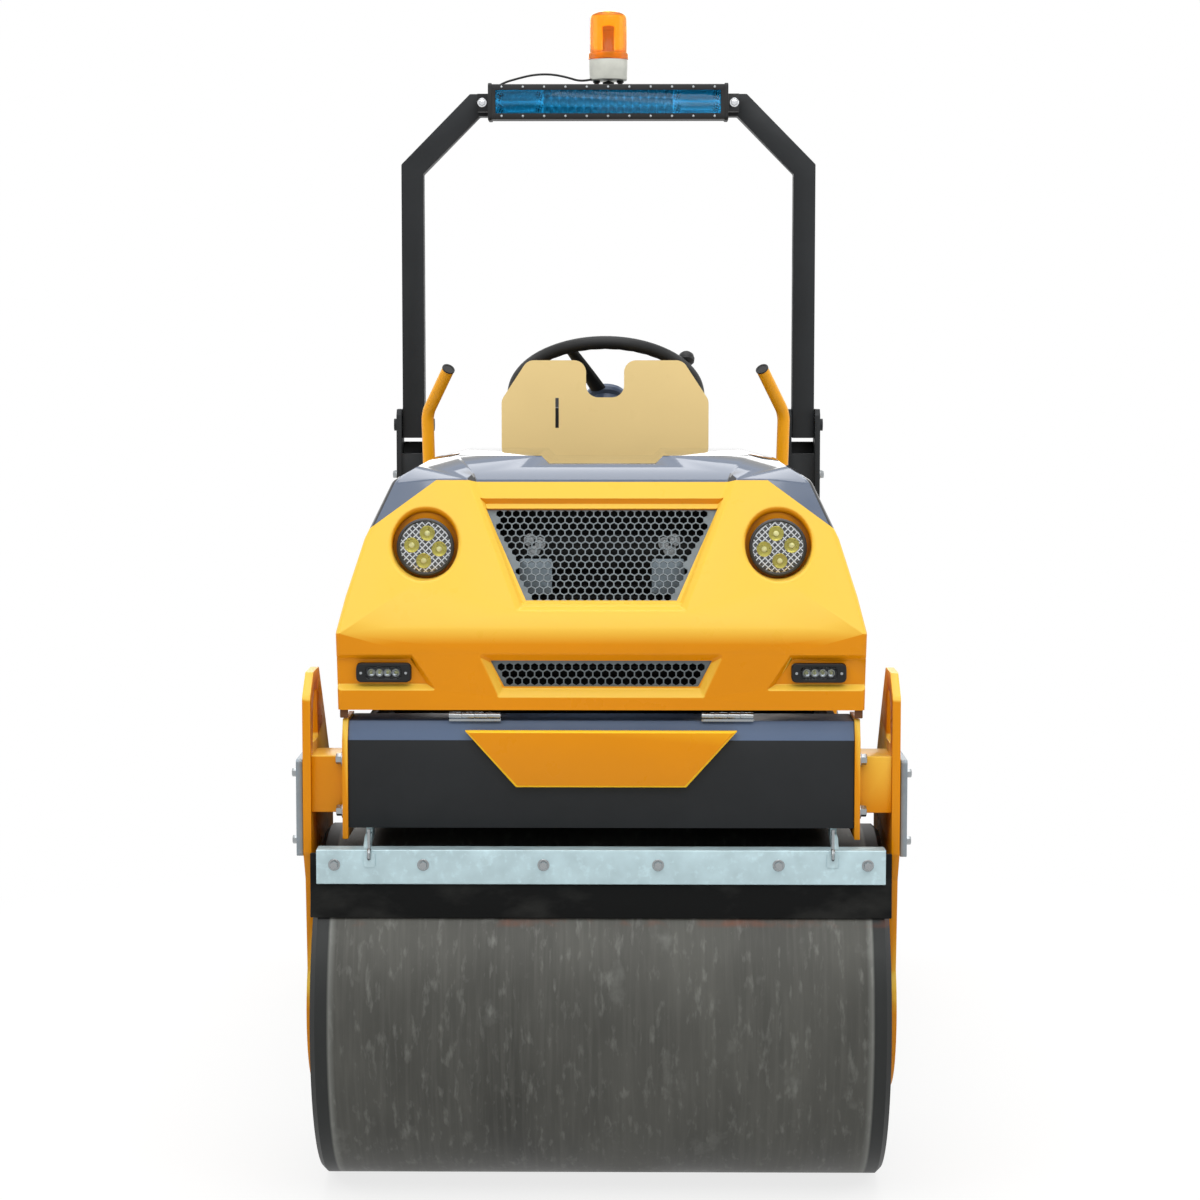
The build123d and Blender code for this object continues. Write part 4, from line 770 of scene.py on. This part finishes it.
class ROLLER_OT_lead(Operator):
    """Make the beacon's lead: a NURBS curve from the beacon's base in one low arch to the light bar's end"""
    bl_idname = "roller.lead"
    bl_label = "Beacon lead"

    def execute(self, context):
        line = bpy.data.curves.new("beacon_cable", "CURVE")
        line.dimensions = "3D"
        line.bevel_depth = 2.5 * MM
        line.bevel_resolution = 4
        line.resolution_u = 16
        line.use_fill_caps = True
        spline = line.splines.new("NURBS")
        spline.points.add(len(LEAD) - 1)
        for point, place in zip(spline.points, LEAD):
            point.co = (*place, 1)
        spline.order_u = 3
        spline.use_endpoint_u = True
        line.materials.append(FINISH["cable"])
        cable = bpy.data.objects.new("beacon_cable", line)
        context.scene.collection.objects.link(cable)
        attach(cable, "roll_bar")
        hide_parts("beacon_lead")
        return {"FINISHED"}


class ROLLER_OT_beacon(Operator):
    """Make the beacon with its ribbed dome, lamp, base and feet"""
    bl_idname = "roller.beacon"
    bl_label = "Beacon"

    def execute(self, context):
        low, high = corners("beacon_dome")
        middle = np.array(((low[0] + high[0]) / 2, (low[1] + high[1]) / 2, low[2]))
        foot = np.array((middle[0], middle[1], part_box("beacon_base")[0][2]))
        unit = (high[0] - low[0]) / BEACON_WIDTH
        piece("beacon_lens", self.dome(middle, unit), "amber", "roll_bar", ["beacon_dome"])
        feet = together(copies(STUD, [foot - STUDS_X * X_AXIS, foot + STUDS_X * X_AXIS], Z_AXIS, 20),
                        turned(NUT, foot, Z_AXIS, 24))
        for name, shell, finish, replaced in (
                ("beacon_flange", turned(FLANGE, middle, Z_AXIS, 72, unit), "flange", ()),
                ("beacon_lamp", turned(BEACON_LAMP, middle, Z_AXIS, 36), "post", ()),
                ("beacon_collar", turned(COLLAR, foot, Z_AXIS, 64), "grey", ["beacon_base"]),
                ("beacon_feet", feet, "black", ()),
                ("beacon_plate", tile((104, 44, 6, 3, 0.8), foot, X_AXIS, Y_AXIS), "guard", ())):
            piece(name, shell, finish, "roll_bar", replaced)
        return {"FINISHED"}

    def dome(self, middle, unit):
        """The dome's profile turned round, its side ribbed: each radius times 1 - depth (1 + cos (ribs a))."""
        profile = np.array(DOME_OUTSIDE + DOME_INSIDE)
        angle = around(120)
        ribbed = (np.arange(len(profile)) > 0) & (np.arange(len(profile)) < 4)
        wave = 1 - RIB_DEPTH * ribbed[:, None] * (1 + np.cos(angle * RIBS))[None]
        ring = np.stack((np.cos(angle), np.sin(angle), 0 * angle), -1)
        reach, height = (profile * unit).T
        points = middle + (reach[:, None] * wave)[..., None] * ring[None] + height[:, None, None] * Z_AXIS
        return surface(points, wrap=True)


REFLECTOR_DEPTH, REFLECTOR_BACK = 14 * MM, 17 * MM
REFLECTORS_WIDE, REFLECTORS_TALL, FLOOD_WIDE = 505 * MM, 51 * MM, 291 * MM
BAR_SCREWS = [(x * 48 * MM, z * MM) for x in range(-5, 6) for z in (-32.5, 32.5)]
BAR_CAP_X = 0.262


class ROLLER_OT_light_bar(Operator):
    """Make the light bar's reflectors, its screws, end caps and bolts"""
    bl_idname = "roller.light_bar"
    bl_label = "Light bar"

    def execute(self, context):
        low, high = corners("light_bar_lens")
        centre = np.array(((low[0] + high[0]) / 2, high[1] + 3 * MM, (low[2] + high[2]) / 2))
        side = (REFLECTORS_WIDE - FLOOD_WIDE) / 2
        shells = [self.relief(centre, FLOOD_WIDE, 16, 3, 8, self.bowl)]
        for way in (-1, 1):
            middle = centre + way * (FLOOD_WIDE + side) / 2 * X_AXIS
            shells.append(self.relief(middle, side, 1, 2, 60, self.trough))
        piece("light_bar_reflectors", together(*shells), "pressed", "roll_bar")
        low, high = corners("light_bar")
        rows = [(x, low[1], centre[2] + z) for x, z in BAR_SCREWS]
        piece("light_bar_screws", bolts(rows, -Y_AXIS, 5 * MM, False), "bolt", "roll_bar")
        cap = tile((62, 84, 8, 9, 2), (BAR_CAP_X, low[1] + 30 * MM, centre[2]), Y_AXIS)
        piece("light_bar_caps", mirrored(cap), "black", "roll_bar")
        ear = (high[0] - 11 * MM, low[1] + 28 * MM, centre[2])
        piece("light_bar_bolts", mirrored(bolts([ear], -Y_AXIS, 13 * MM)), "chrome", "roll_bar")
        return {"FINISHED"}

    def relief(self, centre, wide, columns, rows, steps, shape):
        """A panel of reflectors, sunk by their depth times the shape's value at its place across and up each cell."""
        across = np.linspace(0, columns, columns * steps + 1)
        up = np.linspace(0, rows, rows * 12 + 1)
        u, v = np.meshgrid(across, up, indexing="ij")
        depth = REFLECTOR_DEPTH * shape(2 * (u % 1) - 1, 2 * (v % 1) - 1)
        flat = centre + ((u / columns - 0.5) * wide)[..., None] * X_AXIS \
            + ((v / rows - 0.5) * REFLECTORS_TALL)[..., None] * Z_AXIS
        return backed(flat + depth[..., None] * Y_AXIS, flat + REFLECTOR_BACK * Y_AXIS)

    def bowl(self, u, v):
        """A square bowl: 1 - (u^2 + v^2) / 2."""
        return 1 - (u ** 2 + v ** 2) / 2

    def trough(self, u, v):
        """A long trough, (1 - v^2) deep, that rises at both ends by u^4 and is crinkled there by sines."""
        ends = np.clip((np.abs(u) - 0.62) / 0.2, 0, 1)
        crinkle = np.sin(u * 41 + v * 5) * np.sin(v * 9 - u * 13) * 0.5 * ends
        return np.clip((1 - v ** 2) * (1 - u ** 4) + crinkle * (1 - v ** 4), 0, 1)


# ---- steering wheel ------------------------------------------------------------------
WHEEL_REACH = 0.204
GRIP_WAVES, GRIP_DEPTH = 40, 0.05
WHEEL_HUB = ((0, -42), (30, -42), (33, -38), (34, -16), (42, -12), (44, -6), (42, 2), (34, 8), (18, 12), (0, 13))
WHEEL_KNOB = ((0, 8), (9, 8), (9, 14), (12, 16), (16, 20), (17, 27), (15, 35), (10, 40), (0, 42))
SPOKE_ANGLES, KNOB_ANGLE = radians(247) + around(3), radians(-30)
SPOKE_START, SPOKE_WIDTHS, SPOKE_THICK, SPOKE_DIP = 0.03, (17, 11), 6 * MM, 8 * MM


class ROLLER_OT_wheel(Operator):
    """Make the steering wheel with its three spokes, hub and knob"""
    bl_idname = "roller.wheel"
    bl_label = "Steering wheel"

    def execute(self, context):
        """The rim is a ring whose section shrinks by 5 % in 40 finger waves on its underside."""
        joint = next(j for j in frame["joints"] if j["name"] == "steering_wheel_turn")
        centre, axis = np.array(joint["pos_m"]), np.array(joint["axis"])
        away = np.cross(axis, X_AXIS)
        thick = context.scene.roller_sizes.rim / 2
        reach = WHEEL_REACH - thick
        turn, section = np.meshgrid(around(120), np.linspace(0, 2 * pi, 19), indexing="ij")
        waves = np.clip(np.cos(turn * GRIP_WAVES), 0, 1) * (np.sin(section) < -0.2)
        grip = thick * (1 - GRIP_DEPTH * waves)
        radius = reach + grip * np.cos(section)
        points = centre + radius[..., None] * (np.cos(turn)[..., None] * X_AXIS + np.sin(turn)[..., None] * away) \
            + (grip * np.sin(section))[..., None] * axis
        rim = surface(np.concatenate((points, points[:1])))
        spokes = [self.spoke(centre, axis, np.cos(angle) * X_AXIS + np.sin(angle) * away, reach)
                  for angle in SPOKE_ANGLES]
        piece("wheel_moulding", together(rim, *spokes), "black", "wheel", ["steering_wheel"], 40)
        piece("wheel_hub", turned(WHEEL_HUB, centre, axis, 48), "hub", "wheel")
        foot = centre + reach * (np.cos(KNOB_ANGLE) * X_AXIS + np.sin(KNOB_ANGLE) * away)
        piece("wheel_knob", turned(WHEEL_KNOB, foot, axis, 28), "black", "wheel")
        return {"FINISHED"}

    def spoke(self, centre, axis, out, reach):
        """A flat oval carried out from the hub: its half width falls from 17 to 11 mm and it rises to the rim."""
        side = np.cross(axis, out)
        share, turn = np.meshgrid(np.linspace(0, 1, 9), around(16), indexing="ij")
        along = SPOKE_START + (reach - SPOKE_START) * share
        first, last = SPOKE_WIDTHS
        wide = (first - (first - last) * share) * MM * np.cos(turn)
        lift = -SPOKE_DIP * (1 - share) ** 2 + SPOKE_THICK * np.sin(turn)
        return surface(centre + along[..., None] * out + wide[..., None] * side + lift[..., None] * axis, wrap=True)


# ---- seat ------------------------------------------------------------------------------
PAD_SQUARENESS, PAD_CROWN = 0.35, 0.55
PAD_SHRINK, BACK_HALF, BACK_LEAN = (0.965, 0.965, 0.88), (0.225, 0.188, 0.034), radians(8)
PAD_VOXEL, PAD_PRESSURE, PAD_SWELL, PAD_FRAMES = 6 * MM, 4, 6 * MM, 20


def pillow(half, square, crown):
    """A squared ball: each axis is its half size times the sine or cosine of an angle, raised to a power."""
    polar, turn = np.meshgrid(np.linspace(-pi / 2, pi / 2, 48), around(96), indexing="ij")

    def power(value, by):
        return np.sign(value) * np.abs(value) ** by
    across = half[0] * power(np.cos(polar), crown) * power(np.cos(turn), square)
    along = half[1] * power(np.cos(polar), crown) * power(np.sin(turn), square)
    return across, along, half[2] * power(np.sin(polar), crown)


def plump(thing):
    """Swells a pad as stuffed cloth: voxel remesh, cloth under pressure, each point's move held to the most."""
    bpy.context.view_layer.objects.active = thing
    thing.data.remesh_voxel_size = PAD_VOXEL
    bpy.ops.object.select_all(action="DESELECT")
    thing.select_set(True)
    bpy.ops.object.voxel_remesh()
    count = len(thing.data.vertices)
    before = np.empty(count * 3)
    thing.data.vertices.foreach_get("co", before)
    cloth = thing.modifiers.new("Cloth", "CLOTH")
    cloth.settings.use_pressure = True
    cloth.settings.uniform_pressure_force = PAD_PRESSURE
    cloth.settings.effector_weights.gravity = 0
    cloth.point_cache.frame_end = PAD_FRAMES
    for step in range(1, PAD_FRAMES + 1):
        bpy.context.scene.frame_set(step)
    graph = bpy.context.evaluated_depsgraph_get()
    after = np.empty(count * 3)
    thing.evaluated_get(graph).data.vertices.foreach_get("co", after)
    thing.modifiers.remove(cloth)
    bpy.context.scene.frame_set(1)
    move = (after - before).reshape(-1, 3)
    far = np.linalg.norm(move, axis=1)[:, None]
    held = before.reshape(-1, 3) + move * np.minimum(1, PAD_SWELL / np.maximum(far, 1e-9))
    thing.data.vertices.foreach_set("co", held.ravel())
    thing.data.update()


class ROLLER_OT_seat(Operator):
    """Make the seat's cushion and backrest as stuffed vinyl pads"""
    bl_idname = "roller.seat"
    bl_label = "Seat"

    def execute(self, context):
        low, high = corners("seat_cushion")
        self.pad("seat_pad", "seat_cushion", (high - low) / 2 * PAD_SHRINK, Y_AXIS, Z_AXIS)
        up = np.array((0, np.sin(BACK_LEAN), np.cos(BACK_LEAN)))
        self.pad("back_pad", "seat_back", BACK_HALF, up, np.cross(X_AXIS, up))
        return {"FINISHED"}

    def pad(self, name, node, half, up, out):
        low, high = corners(node)
        across, along, rise = pillow(half, PAD_SQUARENESS, PAD_CROWN)
        points = (low + high) / 2 + across[..., None] * X_AXIS + along[..., None] * up + rise[..., None] * out
        thing = piece(name, surface(points, wrap=True), "vinyl", "rear_frame", [node])
        plump(thing)


# ---- studio --------------------------------------------------------------------------------
# Each light's name, place, target, width and height, and power in watts.
LIGHTS = (("key", (0, -4.2, 4.4), (0, -0.85, 1.0), (7.0, 2.4), 150),
          ("top", (0, -0.4, 5.0), (0, -0.39, 0), (4.0, 4.0), 130),
          ("left", (-4.6, 0.6, 2.6), (0, 0, 0.9), (3.0, 3.0), 55),
          ("right", (4.6, 0.6, 2.6), (0, 0, 0.9), (3.0, 3.0), 55),
          ("back", (0, 4.6, 3.4), (0, 0.6, 1.0), (5.0, 2.5), 90))
CAMERA_PLACE, CAMERA_TURN, FOCAL_LENGTH = (0.049, -5.806, 1.483), (radians(85), 0, radians(0.6)), 84.45
SKY_STRENGTH = 0.42
FLOOR_RADIUS, FADE_START, FADE_END = 14, 1.2, 2.4


class ROLLER_OT_studio(Operator):
    """Set up the camera, the pale floor, the soft light and the finishes"""
    bl_idname = "roller.studio"
    bl_label = "Studio"

    def execute(self, context):
        scene = context.scene
        scene.view_settings.view_transform = "Standard"
        lens = bpy.data.cameras.new("camera")
        lens.lens = FOCAL_LENGTH
        lens.sensor_width = 36
        camera = bpy.data.objects.new("camera", lens)
        camera.location = CAMERA_PLACE
        camera.rotation_euler = CAMERA_TURN
        scene.collection.objects.link(camera)
        scene.camera = camera
        for name, place, target, size, power in LIGHTS:
            light = bpy.data.lights.new(name, "AREA")
            light.shape = "RECTANGLE"
            light.size, light.size_y = size
            light.energy = power
            lamp = bpy.data.objects.new(name, light)
            lamp.location = place
            lamp.rotation_euler = (Vector(target) - Vector(place)).to_track_quat("-Z", "Y").to_euler()
            scene.collection.objects.link(lamp)
        self.floor(scene)
        self.sky(scene)
        make_finishes(scene.roller_colours)
        return {"FINISHED"}

    def floor(self, scene):
        """A matt white board that takes the roller's shadow near it and fades to plain white away from it."""
        angle = around(64)
        ring = np.stack((np.cos(angle), np.sin(angle), 0 * angle), -1)
        points, faces = surface(np.stack((ring * 1 * MM, ring * FLOOR_RADIUS)), wrap=True)
        mesh = bpy.data.meshes.new("floor")
        mesh.from_pydata((points - 0.5 * MM * Z_AXIS).tolist(), [], faces[:, ::-1].tolist())
        board = bpy.data.objects.new("floor", mesh)
        scene.collection.objects.link(board)
        material, _, place = solid("matt white board", linear("F2F2F0"), 0.95, Specular_IOR_Level=0.0)
        tree = material.node_tree
        shader = tree.nodes["Principled BSDF"].outputs[0]
        light = add_node(tree, "Emission", {"Color": (1, 1, 1, 1), "Strength": 1.0})
        away = add_node(tree, "VectorMath", (place,), "Value", operation="LENGTH")
        fade = add_node(tree, "MapRange", (away, FADE_START, FADE_END, 0.78, 1.0))
        share = add_node(tree, "Math", (fade, seen(tree)), operation="MULTIPLY")
        mix = add_node(tree, "MixShader", (share, shader, light))
        tree.links.new(mix, tree.nodes["Material Output"].inputs["Surface"])
        mesh.materials.append(material)

    def sky(self, scene):
        """White where the camera, a mirror or glass looks, and a plain grey-white light on everything else."""
        world = bpy.data.worlds.new("sky")
        scene.world = world
        world.use_nodes = True
        tree = world.node_tree
        light = tree.nodes["Background"].inputs
        light["Color"].default_value = (1, 1, 1, 1)
        tree.links.new(add_node(tree, "MapRange", (seen(tree), 0, 1, SKY_STRENGTH, 1.0)), light["Strength"])


def seen(tree):
    """One for the rays that the camera, a mirror or glass sends out, and nought for the light's own."""
    share = add_node(tree, "LightPath", output="Is Camera Ray")
    for kind in ("Is Glossy Ray", "Is Transmission Ray"):
        share = add_node(tree, "Math", (share, add_node(tree, "LightPath", output=kind)), operation="MAXIMUM")
    return share


STEPS = (ROLLER_OT_studio, ROLLER_OT_lead, ROLLER_OT_frame, ROLLER_OT_lamps, ROLLER_OT_fasteners,
         ROLLER_OT_beacon, ROLLER_OT_light_bar, ROLLER_OT_wheel, ROLLER_OT_seat)


class ROLLER_PT_panel(Panel):
    """The roller's sizes, colours and making steps"""
    bl_idname = "ROLLER_PT_panel"
    bl_label = "Road roller"
    bl_space_type = "VIEW_3D"
    bl_region_type = "UI"
    bl_category = "Roller"

    def draw(self, context):
        for group in (context.scene.roller_sizes, context.scene.roller_colours):
            for key in group.bl_rna.properties.keys():
                if key not in {"rna_type", "name"}:
                    self.layout.prop(group, key)
        for step in STEPS:
            self.layout.operator(step.bl_idname)


CLASSES = (RollerSizes, RollerColours, *STEPS, ROLLER_PT_panel)


def register():
    for kind in CLASSES:
        bpy.utils.register_class(kind)
    bpy.types.Scene.roller_sizes = PointerProperty(type=RollerSizes)
    bpy.types.Scene.roller_colours = PointerProperty(type=RollerColours)


def unregister():
    del bpy.types.Scene.roller_colours
    del bpy.types.Scene.roller_sizes
    for kind in reversed(CLASSES):
        bpy.utils.unregister_class(kind)


def main():
    """Registers the classes and makes every piece in order."""
    register()
    for step in STEPS:
        group, name = step.bl_idname.split(".")
        getattr(getattr(bpy.ops, group), name)()


if __name__ == "__main__":
    main()
